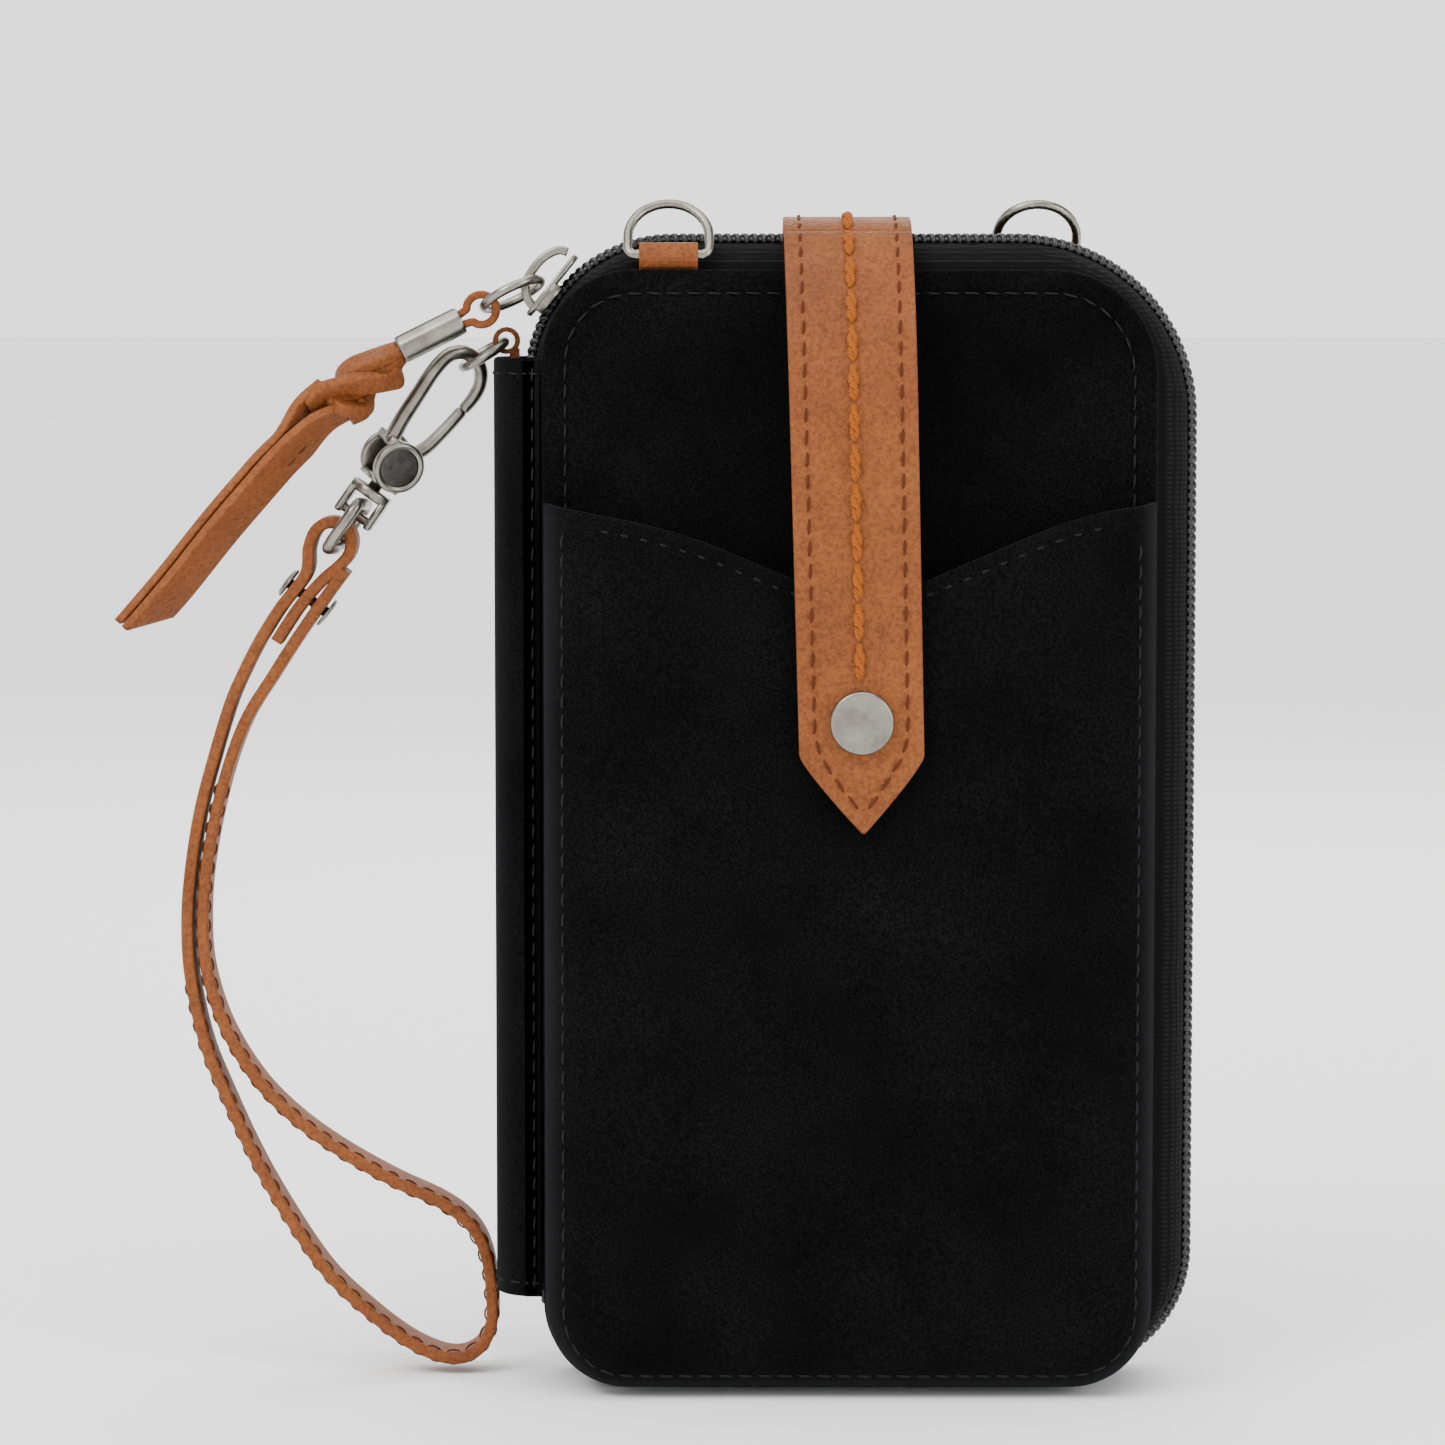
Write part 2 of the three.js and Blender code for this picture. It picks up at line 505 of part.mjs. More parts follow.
// In the clasp's own frame Z is its long axis and Y is the pin of the gate.
function clasp() {
  const frame = claspFrame(CLASP.turn);
  const put = (name, geometry) => add(name, geometry.applyMatrix4(frame), MATERIAL.metal);
  const { cheekIn, cheekOut, disc, wire } = CLASP;
  const path = [[-2.3, 2.6], [-2.8, 6], [-3, 11], [-3.1, 15.5], [-2.5, 18.6], [-0.9, 20.2], [1.2, 20.5],
    [3.4, 19.6], [4.9, 17.6], [5.3, 15.2], [5.1, 13]];
  const hook = rod(smooth(inXZ(path), 24), v3(0, 1, 0), wire, 10);
  const cheeks = [barY(0, 0, -cheekOut, -cheekIn, disc, 20), barY(0, 0, cheekIn, cheekOut, disc, 20)];
  const crown = box(-3.6, -0.5, -3, 3, 2, 3.7);
  const foot = box(-2.5, 2.5, -3, 3, -4, -2.8);
  const pinBore = barY(0, 0, -3, 3, 1, 12);
  const neckBore = bar(v3(0, 0, -5), v3(0, 0, -2), 1.35, 12);
  put('clasp_body', cut(join(cheeks[0], cheeks[1], crown, foot, hook), pinBore, neckBore));
  put('clasp_pin', barY(0, 0, -2.9, 2.9, 0.7, 10));
  put('gate_spring', new THREE.TorusGeometry(1.35, 0.25, 6, 16).rotateX(Math.PI / 2).translate(0, 1.7, 0));
  const arm = rod(smooth(inXZ([[1.2, 1.2], [3.3, 4.2], [4.3, 8], [4.95, 12.3]]), 8), v3(0, 1, 0), 1.05, 10);
  const hub = barY(0, 0, -1.15, 1.15, 1.9, 14);
  put('clasp_gate', cut(join(hub, arm), barY(0, 0, -2, 2, 1, 12)));
}

function swivel() {
  const frame = claspFrame(SWIVEL.turn);
  const put = (name, geometry) => add(name, geometry.applyMatrix4(frame), MATERIAL.metal);
  const { wire, half, top, bottom, lug, gap, depth } = SWIVEL;
  const pinZ = top - wire - GAP - 0.8;
  const saddle = box(-lug, lug, -depth, depth, -6.7, -5);
  const cheek = (x0, x1) => box(x0, x1, -depth, depth, pinZ - 1.3, -6);
  const neck = bar(v3(0, 0, -5.4), v3(0, 0, -2.2), 1.05, 12);
  const head = bar(v3(0, 0, -2.5), v3(0, 0, -2.05), 1.9, 12);
  const pinLine = (reach, radius) => bar(v3(-reach, 0, pinZ), v3(reach, 0, pinZ), radius, 12);
  const yoke = join(saddle, cheek(-lug, -gap), cheek(gap, lug), neck, head);
  put('swivel_yoke', cut(yoke, pinLine(lug + 1, 1.05)));
  put('clevis_pin', pinLine(lug, 0.75));
  const bend = 1.8;
  const path = [
    ...arc(half - bend, top - bend, bend, 90, 0, 4), ...arc(half - bend, bottom + bend, bend, 0, -90, 4),
    ...arc(bend - half, bottom + bend, bend, -90, -180, 4), ...arc(bend - half, top - bend, bend, 180, 90, 4),
  ];
  put('swivel_ring', rod(path, v3(0, 1, 0), wire, 8, true).rotateZ(Math.PI / 2));
}

// ---- wrist strap: one leather strip, doubled round the swivel ring and riveted to itself ----
const WRIST_LINE = [
  [-77.3, 125.6], [-81.4, 120], [-85.4, 114.2], [-88.4, 109.5], [-93, 102], [-96.5, 92], [-99, 80],
  [-99.7, 70], [-98.9, 62], [-96, 53.5], [-91, 45.5], [-85, 39.5], [-78, 34.5], [-70, 30], [-62.6, 26.5],
  [-58.2, 23], [-55.9, 18.5], [-55, 12], [-55.3, 6.5], [-57.8, 2.9], [-62, 2.1], [-68, 4.6], [-75, 10],
  [-81, 16], [-87, 25], [-92, 34], [-96.5, 44], [-99.6, 52], [-101.7, 62], [-102.2, 70], [-101.7, 78],
  [-100.1, 88], [-97.7, 97], [-95.2, 105], [-93, 110], [-90.4, 115], [-87.2, 120], [-83.4, 125],
  [-82.9, 129], [-81.8, 131.8], [-79.8, 133], [-77.4, 132.4], [-76.3, 130.4], [-76.8, 127.9],
  [-78.7, 125.9], [-80.8, 124.1], [-84.4, 120], [-88, 114.6],
];

function wristStrap() {
  const points = smooth(inXZ(WRIST_LINE, CLASP.y), 120);
  const strip = ribbon(points, v3(0, 1, 0), WRIST.width, WRIST.thick);
  const out = v3(-Math.sin(WRIST.slope * DEG), 0, Math.cos(WRIST.slope * DEG));
  const left = v3(WRIST.rivetX, CLASP.y, WRIST.rivetZ);
  const along = (d) => left.clone().addScaledVector(out, d);
  const top = WRIST.thick / 2 + GAP + 0.1;
  const low = -(2 * WRIST.strand + top);
  add('wrist_strap', cut(strip, bar(along(low - 2), along(top + 2), 1.2, 12)), MATERIAL.leather);
  const caps = [bar(along(top), along(top + 0.6), 2.5, 18), bar(along(low), along(low - 0.6), 2.5, 18)];
  const shank = bar(along(low - 0.3), along(top + 0.3), 0.85, 12);
  add('strap_rivet', join(caps[0], caps[1], shank), MATERIAL.metal);
}

// A clamp closes each end of the chain inside the spine band.
function endStops() {
  const stop = (name, z0, z1) => add(
    name, box(COIL.left - 0.4, COIL.left + 2.4, -2.2, 2.2, z0, z1), MATERIAL.metal);
  stop('zip_stop_top', TAPE_END.top - 2.5, TAPE_END.top - GAP);
  stop('zip_stop_bottom', TAPE_END.bottom + GAP, TAPE_END.bottom + 2.5);
}

cover('back', 1);
cover('front', -1);
add('zipper_coil_back', coil(-0.2, COIL_BAND.halfWidth), MATERIAL.coil);
add('zipper_coil_front', coil(-0.5, -COIL_BAND.halfWidth), MATERIAL.coil);
interior();
spine();
endStops();
pocket();
strap();
dRing('left', -1, D_RING_X.left);
dRing('right', 1, D_RING_X.right);
slider();
pull();
sideRing();
clasp();
swivel();
wristStrap();

export default wallet;
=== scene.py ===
# The looks of the wristlet wallet: suede covers, a nylon coil zipper, tan leather and antique nickel.
# Shapes are worked out in millimetres, in the CAD frame, and turned into metres when a mesh is made.
import bmesh
import bpy
import math
from mathutils import Matrix, Vector


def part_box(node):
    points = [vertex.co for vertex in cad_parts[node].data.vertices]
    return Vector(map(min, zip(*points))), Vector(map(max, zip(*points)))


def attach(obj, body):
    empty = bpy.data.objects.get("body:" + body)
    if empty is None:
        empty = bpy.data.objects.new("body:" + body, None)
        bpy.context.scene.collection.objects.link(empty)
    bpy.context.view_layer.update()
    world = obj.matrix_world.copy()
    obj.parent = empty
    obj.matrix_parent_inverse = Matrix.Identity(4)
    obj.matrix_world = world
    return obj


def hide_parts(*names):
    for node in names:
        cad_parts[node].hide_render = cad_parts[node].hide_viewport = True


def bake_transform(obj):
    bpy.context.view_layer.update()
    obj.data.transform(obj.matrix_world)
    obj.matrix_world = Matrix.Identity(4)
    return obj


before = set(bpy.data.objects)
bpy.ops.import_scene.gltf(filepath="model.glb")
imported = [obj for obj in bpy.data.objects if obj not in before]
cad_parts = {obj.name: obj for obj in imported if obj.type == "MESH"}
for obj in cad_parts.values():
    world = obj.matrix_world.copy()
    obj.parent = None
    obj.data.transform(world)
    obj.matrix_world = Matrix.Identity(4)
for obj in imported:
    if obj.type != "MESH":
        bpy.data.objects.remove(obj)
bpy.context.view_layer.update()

MM = 0.001
X, Y, Z = Vector((1, 0, 0)), Vector((0, 1, 0)), Vector((0, 0, 1))


def V(x, y, z):
    return Vector((x, y, z))


ORIGIN = V(0, 0, 0)


def node_box(node):
    """A CAD node's lowest and highest corners in millimetres."""
    low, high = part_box(node)
    return Vector(low) / MM, Vector(high) / MM


# ---- materials ----

class Shader:
    """A small helper that adds nodes to one material."""

    def __init__(self, name, rough, metal=0.0, **values):
        self.material = bpy.data.materials.new(name)
        self.material.use_nodes = True
        self.tree = self.material.node_tree
        self.bsdf = self.tree.nodes["Principled BSDF"]
        self.bsdf.inputs["Roughness"].default_value = rough
        self.bsdf.inputs["Metallic"].default_value = metal
        for key, value in values.items():
            self.bsdf.inputs[key.replace("_", " ")].default_value = value
        self.place = self.tree.nodes.new("ShaderNodeTexCoord").outputs["Object"]
        self.height = None

    def node(self, kind, **values):
        new = self.tree.nodes.new(kind)
        for key, value in values.items():
            new.inputs[key].default_value = value
        return new

    def noise(self, scale, detail=4.0, rough=0.6, stretch=None):
        tex = self.node("ShaderNodeTexNoise", Scale=scale, Detail=detail, Roughness=rough)
        self.tree.links.new(self.stretched(stretch), tex.inputs["Vector"])
        return tex.outputs["Fac"]

    def cells(self, scale):
        tex = self.node("ShaderNodeTexVoronoi", Scale=scale)
        self.tree.links.new(self.place, tex.inputs["Vector"])
        return tex.outputs["Distance"]

    def weave(self, scale, direction):
        tex = self.node("ShaderNodeTexWave", Scale=scale, Distortion=0.6, Detail=1.0)
        tex.bands_direction = direction
        self.tree.links.new(self.place, tex.inputs["Vector"])
        return tex.outputs["Fac"]

    def stretched(self, stretch):
        if stretch is None:
            return self.place
        mapping = self.tree.nodes.new("ShaderNodeMapping")
        mapping.inputs["Scale"].default_value = stretch
        self.tree.links.new(self.place, mapping.inputs["Vector"])
        return mapping.outputs["Vector"]

    def ramp(self, fac, stops):
        ramp = self.tree.nodes.new("ShaderNodeValToRGB")
        while len(ramp.color_ramp.elements) < len(stops):
            ramp.color_ramp.elements.new(0.5)
        for element, (at, colour) in zip(ramp.color_ramp.elements, stops):
            element.position = at
            element.color = (*colour, 1)
        self.tree.links.new(fac, ramp.inputs["Fac"])
        return ramp.outputs["Color"]

    def multiply(self, fac, a, b):
        """Darkens colour a by colour b."""
        mix = self.tree.nodes.new("ShaderNodeMix")
        mix.data_type = "RGBA"
        mix.blend_type = "MULTIPLY"
        mix.inputs["Factor"].default_value = fac
        self.tree.links.new(a, mix.inputs["A"])
        self.tree.links.new(b, mix.inputs["B"])
        return mix.outputs["Result"]

    def product(self, a, b):
        maths = self.tree.nodes.new("ShaderNodeMath")
        maths.operation = "MULTIPLY"
        self.tree.links.new(a, maths.inputs[0])
        self.tree.links.new(b, maths.inputs[1])
        return maths.outputs[0]

    def plain(self, colour):
        self.bsdf.inputs["Base Color"].default_value = (*colour, 1)

    def colour(self, socket):
        self.tree.links.new(socket, self.bsdf.inputs["Base Color"])

    def roughness(self, socket, low, high):
        spread = self.node("ShaderNodeMapRange")
        spread.inputs["To Min"].default_value = low
        spread.inputs["To Max"].default_value = high
        self.tree.links.new(socket, spread.inputs["Value"])
        self.tree.links.new(spread.outputs["Result"], self.bsdf.inputs["Roughness"])

    def bump(self, socket, strength, distance):
        bump = self.node("ShaderNodeBump", Strength=strength, Distance=distance)
        self.tree.links.new(socket, bump.inputs["Height"])
        if self.height is not None:
            self.tree.links.new(self.height, bump.inputs["Normal"])
        self.height = bump.outputs["Normal"]
        self.tree.links.new(self.height, self.bsdf.inputs["Normal"])


def suede():
    s = Shader("black_suede", 1.0, Sheen_Weight=0.05, Sheen_Roughness=0.4)
    s.bsdf.inputs["Sheen Tint"].default_value = (0.55, 0.55, 0.6, 1)
    s.bsdf.inputs["Specular IOR Level"].default_value = 0.04
    broad = s.ramp(s.noise(45, 5), [(0.3, (0.0024, 0.0024, 0.0026)), (0.72, (0.0072, 0.0072, 0.0076))])
    nap = s.ramp(s.noise(2600, 3, 0.75), [(0.4, (0.18, 0.18, 0.19)), (0.66, (1.0, 1.0, 1.0))])
    s.colour(s.multiply(1.0, broad, nap))
    s.bump(s.noise(2200, 6, 0.8), 0.8, 0.00025)
    s.bump(s.noise(160, 4), 0.35, 0.0006)
    return s.material


def leather(name, dark, light, edge_scale=1.0):
    s = Shader(name, 0.6, Specular_IOR_Level=0.22)
    broad = s.ramp(s.noise(70, 5), [(0.28, dark), (0.75, light)])
    grain = s.ramp(s.noise(1500 * edge_scale, 4, 0.75), [(0.36, (0.5, 0.42, 0.34)), (0.58, (1.0, 1.0, 1.0))])
    s.colour(s.multiply(0.8, broad, grain))
    s.roughness(s.noise(400, 4), 0.5, 0.75)
    s.bump(s.cells(1300 * edge_scale), 0.7, 0.0002)
    s.bump(s.noise(3200, 5, 0.7), 0.35, 0.0001)
    s.bump(s.noise(90, 3), 0.25, 0.0005)
    return s.material


def nickel():
    s = Shader("antique_nickel", 0.3, 1.0)
    tarnish = s.noise(220, 6, 0.65)
    s.colour(s.ramp(tarnish, [(0.25, (0.12, 0.107, 0.088)), (0.5, (0.22, 0.203, 0.176)),
                              (0.75, (0.31, 0.29, 0.26))]))
    s.roughness(s.noise(900, 5, 0.7), 0.2, 0.42)
    s.bump(s.noise(1600, 4, 0.6, (1, 1, 0.2)), 0.15, 0.00006)
    return s.material


def dark_nickel():
    s = Shader("tarnished_nickel", 0.45, 1.0)
    s.colour(s.ramp(s.noise(420, 7, 0.7), [(0.3, (0.03, 0.029, 0.026)), (0.72, (0.1, 0.095, 0.088))]))
    s.roughness(s.noise(700, 5), 0.35, 0.6)
    s.bump(s.noise(1500, 5, 0.7), 0.35, 0.0001)
    return s.material


def woven(name, dark, light, scale, directions, rough=0.85):
    s = Shader(name, rough, Specular_IOR_Level=0.12)
    threads = s.product(s.weave(scale, directions[0]), s.weave(scale, directions[1]))
    fuzz = s.noise(1800, 4, 0.7)
    s.colour(s.multiply(0.6, s.ramp(threads, [(0.0, dark), (0.9, light)]),
                        s.ramp(fuzz, [(0.3, (0.5, 0.5, 0.5)), (0.7, (1.0, 1.0, 1.0))])))
    s.bump(threads, 0.9, 0.0002)
    s.bump(fuzz, 0.3, 0.0001)
    return s.material


def nylon():
    s = Shader("black_nylon", 0.38)
    s.colour(s.ramp(s.noise(500, 3), [(0.3, (0.003, 0.003, 0.0035)), (0.7, (0.009, 0.009, 0.01))]))
    s.roughness(s.noise(900, 4), 0.28, 0.5)
    s.bump(s.noise(1800, 3), 0.15, 0.00005)
    return s.material


def thread(name, dark, light):
    s = Shader(name, 0.75, Specular_IOR_Level=0.15)
    twist = s.weave(1400, "DIAGONAL")
    s.colour(s.ramp(twist, [(0.1, dark), (0.8, light)]))
    s.bump(twist, 0.8, 0.00012)
    return s.material


def board():
    s = Shader("grey_board", 0.9)
    s.colour(s.ramp(s.noise(900, 6), [(0.3, (0.16, 0.145, 0.12)), (0.7, (0.28, 0.26, 0.22))]))
    s.bump(s.noise(1500, 4), 0.3, 0.0001)
    return s.material


SUEDE = suede()
TAN = leather("tan_leather", (0.15, 0.041, 0.0075), (0.23, 0.07, 0.0145))
TAN_EDGE = leather("tan_leather_flesh_side", (0.2, 0.055, 0.01), (0.29, 0.09, 0.022), 1.6)
NICKEL = nickel()
DARK_NICKEL = dark_nickel()
TAPE = woven("zipper_tape", (0.001, 0.001, 0.001), (0.0085, 0.0085, 0.009), 420, ("Y", "Z"))
LINING = woven("lining_twill", (0.012, 0.011, 0.01), (0.055, 0.05, 0.045), 300, ("X", "DIAGONAL"))
NYLON = nylon()
TAN_THREAD = thread("tan_thread", (0.2, 0.042, 0.004), (0.36, 0.1, 0.012))
BROWN_THREAD = thread("brown_thread", (0.05, 0.011, 0.003), (0.12, 0.028, 0.008))
BLACK_THREAD = thread("black_thread", (0.002, 0.002, 0.002), (0.014, 0.014, 0.015))
BOARD = board()


# ---- meshes ----

def placed(name, data):
    """A new object in the scene."""
    obj = bpy.data.objects.new(name, data)
    bpy.context.scene.collection.objects.link(obj)
    return obj


def piece(name, verts, faces, material, body=None, nodes=()):
    """One visible piece; without a body, it is left unattached."""
    mesh = bpy.data.meshes.new(name)
    mesh.from_pydata([tuple(v * MM) for v in verts], [], faces)
    mesh.validate()
    obj = placed(name, mesh)
    mesh.materials.append(material)
    fix_normals(mesh)
    mesh.polygons.foreach_set("use_smooth", [True] * len(mesh.polygons))
    if body:
        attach(obj, body)
    if nodes:
        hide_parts(*nodes)
    return obj


def fix_normals(mesh):
    work = bmesh.new()
    work.from_mesh(mesh)
    bmesh.ops.recalc_face_normals(work, faces=work.faces)
    work.to_mesh(mesh)
    work.free()


class Build:
    """Collects several closed shapes into one mesh."""

    def __init__(self):
        self.verts, self.faces = [], []

    def add(self, verts, faces):
        start = len(self.verts)
        self.verts += verts
        self.faces += [tuple(start + i for i in face) for face in faces]
        return self

    def join(self, *others):
        for other in others:
            self.add(other.verts, other.faces)
        return self

    def loft(self, rings, closed=False):
        """Skins a row of rings that have the same count of points; an open row gets end caps."""
        count = len(rings[0])
        spans = len(rings) if closed else len(rings) - 1
        faces = []
        for i in range(spans):
            a, b = i * count, ((i + 1) % len(rings)) * count
            for j in range(count):
                k = (j + 1) % count
                faces.append((a + j, a + k, b + k, b + j))
        if not closed:
            last = (len(rings) - 1) * count
            faces.append(tuple(range(count - 1, -1, -1)))
            faces.append(tuple(range(last, last + count)))
        return self.add([p for ring in rings for p in ring], faces)

    def turned(self, matrix):
        self.verts = [matrix @ v for v in self.verts]
        return self

    def piece(self, name, material, slot, body=None, nodes=()):
        return piece(name, self.verts, self.faces, material, body, nodes)


def curve(points, count, cyclic=False):
    """Evenly spaced points on a smooth curve through the given ones."""
    pts = [Vector(p) for p in points]
    n = len(pts)
    dense = []
    for i in range(n if cyclic else n - 1):
        if cyclic:
            p0, p1, p2, p3 = (pts[(i + k) % n] for k in (-1, 0, 1, 2))
        else:
            p0, p1, p2, p3 = pts[max(i - 1, 0)], pts[i], pts[i + 1], pts[min(i + 2, n - 1)]
        for s in range(16):
            t = s / 16
            dense.append(0.5 * (2 * p1 + (p2 - p0) * t + (2 * p0 - 5 * p1 + 4 * p2 - p3) * t * t
                                + (3 * p1 - p0 - 3 * p2 + p3) * t ** 3))
    dense.append(pts[0] if cyclic else pts[-1])
    return spaced(dense, count, cyclic)


def spaced(points, count, cyclic=False):
    lengths = [0.0]
    for a, b in zip(points, points[1:]):
        lengths.append(lengths[-1] + (b - a).length)
    steps = count if cyclic else count - 1
    out, k = [], 0
    for i in range(count):
        goal = lengths[-1] * i / steps
        while k < len(points) - 2 and lengths[k + 1] < goal:
            k += 1
        span = max(lengths[k + 1] - lengths[k], 1e-9)
        out.append(points[k].lerp(points[k + 1], min(max((goal - lengths[k]) / span, 0), 1)))
    return out


def run_length(points):
    return sum((b - a).length for a, b in zip(points, points[1:]))


def directions(points, cyclic=False):
    n = len(points)
    out = []
    for i in range(n):
        before = points[(i - 1) % n] if cyclic else points[max(i - 1, 0)]
        after = points[(i + 1) % n] if cyclic else points[min(i + 1, n - 1)]
        out.append((after - before).normalized())
    return out


def turns(count):
    return [2 * math.pi * k / count for k in range(count)]


def wire(points, radius, sides=14, cyclic=False):
    """A rod with domed ends, or a closed ring of it; radius may be a function of the place from 0 to 1."""
    along = directions(points, cyclic)
    up = along[0].orthogonal().normalized()
    rings = []
    for i, (p, t) in enumerate(zip(points, along)):
        up = (up - t * up.dot(t)).normalized()
        side = t.cross(up)
        place = i / max(len(points) - 1, 1)
        r = radius(place) if callable(radius) else radius
        rings.append([p + (up * math.cos(a) + side * math.sin(a)) * r for a in turns(sides)])
    if cyclic:
        return Build().loft(fit_seam(rings), True)
    return Build().loft(dome(rings, points[0], -along[0])[::-1] + rings
                        + dome(rings[::-1], points[-1], along[-1]))


def fit_seam(rings):
    """Turns the last rings of a closed rod back, so that they meet the first one without a twist."""
    first, last = rings[0], rings[-1]
    n = len(first)
    shift = min(range(n), key=lambda s: sum((first[j] - last[(j + s) % n]).length for j in range(0, n, 2)))
    out = []
    for i, ring in enumerate(rings):
        turn = round(shift * i / (len(rings) - 1))
        out.append([ring[(j + turn) % n] for j in range(n)])
    return out


def dome(rings, centre, out):
    """Rings that close the first of the given ones in a low dome."""
    r = (rings[0][0] - centre).length
    return [[centre + (p - centre) * math.cos(a) + out * r * 0.6 * math.sin(a) for p in rings[0]]
            for a in (0.45, 0.9, 1.3)]


def section(width, thick, bevel, steps=4):
    """A rounded rectangle as (across, out) pairs."""
    pairs = []
    for sx, sy, start in ((1, 1, 0), (-1, 1, 90), (-1, -1, 180), (1, -1, 270)):
        for k in range(steps + 1):
            a = math.radians(start + 90 * k / steps)
            pairs.append((sx * (width / 2 - bevel) + bevel * math.cos(a),
                          sy * (thick / 2 - bevel) + bevel * math.sin(a)))
    return pairs


SKEW_RUN = 8.0  # how far before its end a strip begins to be cut on the slant


def strip(points, side, width, thick, bevel=0.3, lift=0.0, skew=0.0, wave=None):
    """A flat strip with rounded edges. Width may be a function of the point."""
    along = directions(points)
    rings = []
    for i, (p, t) in enumerate(zip(points, along)):
        out = side.cross(t).normalized()
        w = width(p) if callable(width) else width
        nudge = wave(i) if wave else 0.0
        slant = skew * max(1 - (p - points[-1]).length / SKEW_RUN, 0)
        rings.append([p + side * a + out * (lift + nudge + o) - t * slant * (2 * a / w)
                      for a, o in section(w, thick, min(bevel, w * 0.45))])
    return Build().loft(rings)


def lathe(profile, origin, axis, sides, closed=False):
    """Turns (radius, height) pairs about an axis: from axis to axis, or a closed outline as a tube."""
    axis = axis.normalized()
    u = axis.orthogonal().normalized()
    v = axis.cross(u)
    rings = [[origin + axis * h + (u * math.cos(a) + v * math.sin(a)) * max(r, 0.001) for a in turns(sides)]
             for r, h in profile]
    return Build().loft(rings, closed)


def merge(*builds):
    return Build().join(*builds)


def stitches(points, outward, length, gap, radius, sink=0.35):
    """A run of thread stitches that dip into the surface at both ends."""
    whole = Build()
    total = run_length(points)
    count = max(int(total / (length + gap)), 1)
    fine = spaced(points, count * 8 + 1)
    normals = outward if callable(outward) else (lambda p: outward)
    share = length / (length + gap)
    for i in range(count):
        a, b = fine[i * 8], fine[i * 8 + 8]
        a, b = a.lerp(b, (1 - share) / 2), a.lerp(b, (1 + share) / 2)
        out = normals((a + b) / 2)
        side = (b - a).cross(out).normalized()
        tilt = side * radius * 0.35
        rings = []
        for t in (0, 0.12, 0.35, 0.65, 0.88, 1):
            lift = math.sin(math.pi * t) * radius - sink * radius * (1 - math.sin(math.pi * t))
            centre = a.lerp(b, t) + out * lift + tilt * (2 * t - 1)
            r = radius * (0.35 + 0.65 * math.sin(math.pi * t) ** 0.5)
            rings.append([centre + out * r * math.cos(q) * 0.8 + side * r * math.sin(q)
                          for q in turns(6)])
        whole.loft(rings)
    return whole


def soften(node, material, width):
    """Rounds a CAD node's edges and gives it its finish."""
    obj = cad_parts[node]
    obj.data.materials.clear()
    obj.data.materials.append(material)
    bevel = obj.modifiers.new("round_edges", "BEVEL")
    bevel.width = width * MM
    bevel.segments = 3
    bevel.limit_method = "ANGLE"
    bevel.angle_limit = math.radians(35)
    bevel.harden_normals = False
    return obj


# ---- outlines shared by the covers and the zipper ----

RADII = {"tl": 14, "tr": 16, "br": 13, "bl": 13}
COIL_RADII = {"tl": 23, "tr": 28, "br": 20, "bl": 21}


class Outline:
    """A rounded rectangle in the XZ plane; corner radii are named by corner."""

    def __init__(self, left, right, bottom, top, radii):
        self.left, self.right, self.bottom, self.top, self.radii = left, right, bottom, top, radii

    def corners(self, inset):
        r = {k: max(v - inset, 1.5) for k, v in self.radii.items()}
        l, rt, b, t = self.left + inset, self.right - inset, self.bottom + inset, self.top - inset
        return [(l + r["tl"], t - r["tl"], r["tl"], 180), (rt - r["tr"], t - r["tr"], r["tr"], 90),
                (rt - r["br"], b + r["br"], r["br"], 0), (l + r["bl"], b + r["bl"], r["bl"], -90)]

    def ring(self, inset, y, steps=14, sides=12):
        """A closed ring of points at depth y, the same count for every inset."""
        arcs = []
        for cx, cz, r, start in self.corners(inset):
            arcs.append([V(cx + r * math.cos(a), y, cz + r * math.sin(a))
                         for a in (math.radians(start - 90 * i / steps) for i in range(steps + 1))])
        out = []
        for arc, after in zip(arcs, arcs[1:] + arcs[:1]):
            out += arc
            out += [arc[-1].lerp(after[0], k / sides) for k in range(1, sides)]
        return out

    def inside(self, x, z):
        """How far a point is inside the outline."""
        cx, cz = (self.left + self.right) / 2, (self.bottom + self.top) / 2
        r = self.radii[("t" if z > cz else "b") + ("l" if x < cx else "r")]
        dx = abs(x - cx) - ((self.right - self.left) / 2 - r)
        dz = abs(z - cz) - ((self.top - self.bottom) / 2 - r)
        if dx > 0 and dz > 0:
            return r - math.hypot(dx, dz)
        return r - max(dx, dz)

    def edge_x(self, z, inset):
        """The left and right X of the outline at height z."""
        out = []
        for side, corner in ((-1, "l"), (1, "r")):
            r_low, r_high = self.radii["b" + corner] - inset, self.radii["t" + corner] - inset
            low, high = self.bottom + inset + r_low, self.top - inset - r_high
            r, dz = (r_low, low - z) if z < low else (r_high, z - high) if z > high else (0, 0)
            pull = r - math.sqrt(max(r * r - dz * dz, 0)) if dz > 0 else 0
            edge = (self.left + inset) if side < 0 else (self.right - inset)
            out.append(edge - side * pull)
        return out


panel_low, panel_high = node_box("front_panel")
PANEL = Outline(panel_low.x, panel_high.x, panel_low.z, panel_high.z, RADII)
coil_low, coil_high = node_box("zipper_coil_back")
COIL = Outline(coil_low.x, coil_high.x, coil_low.z, coil_high.z, COIL_RADII)
COVER_FACE = -panel_low.y
SIDE_NAME = {-1: "front", 1: "back"}


# ---- covers ----

STITCH_INSET = 3.6
COVER_THICK = 1.4
SMALL_STITCH = (2.3, 0.7, 0.2)  # length, gap and radius


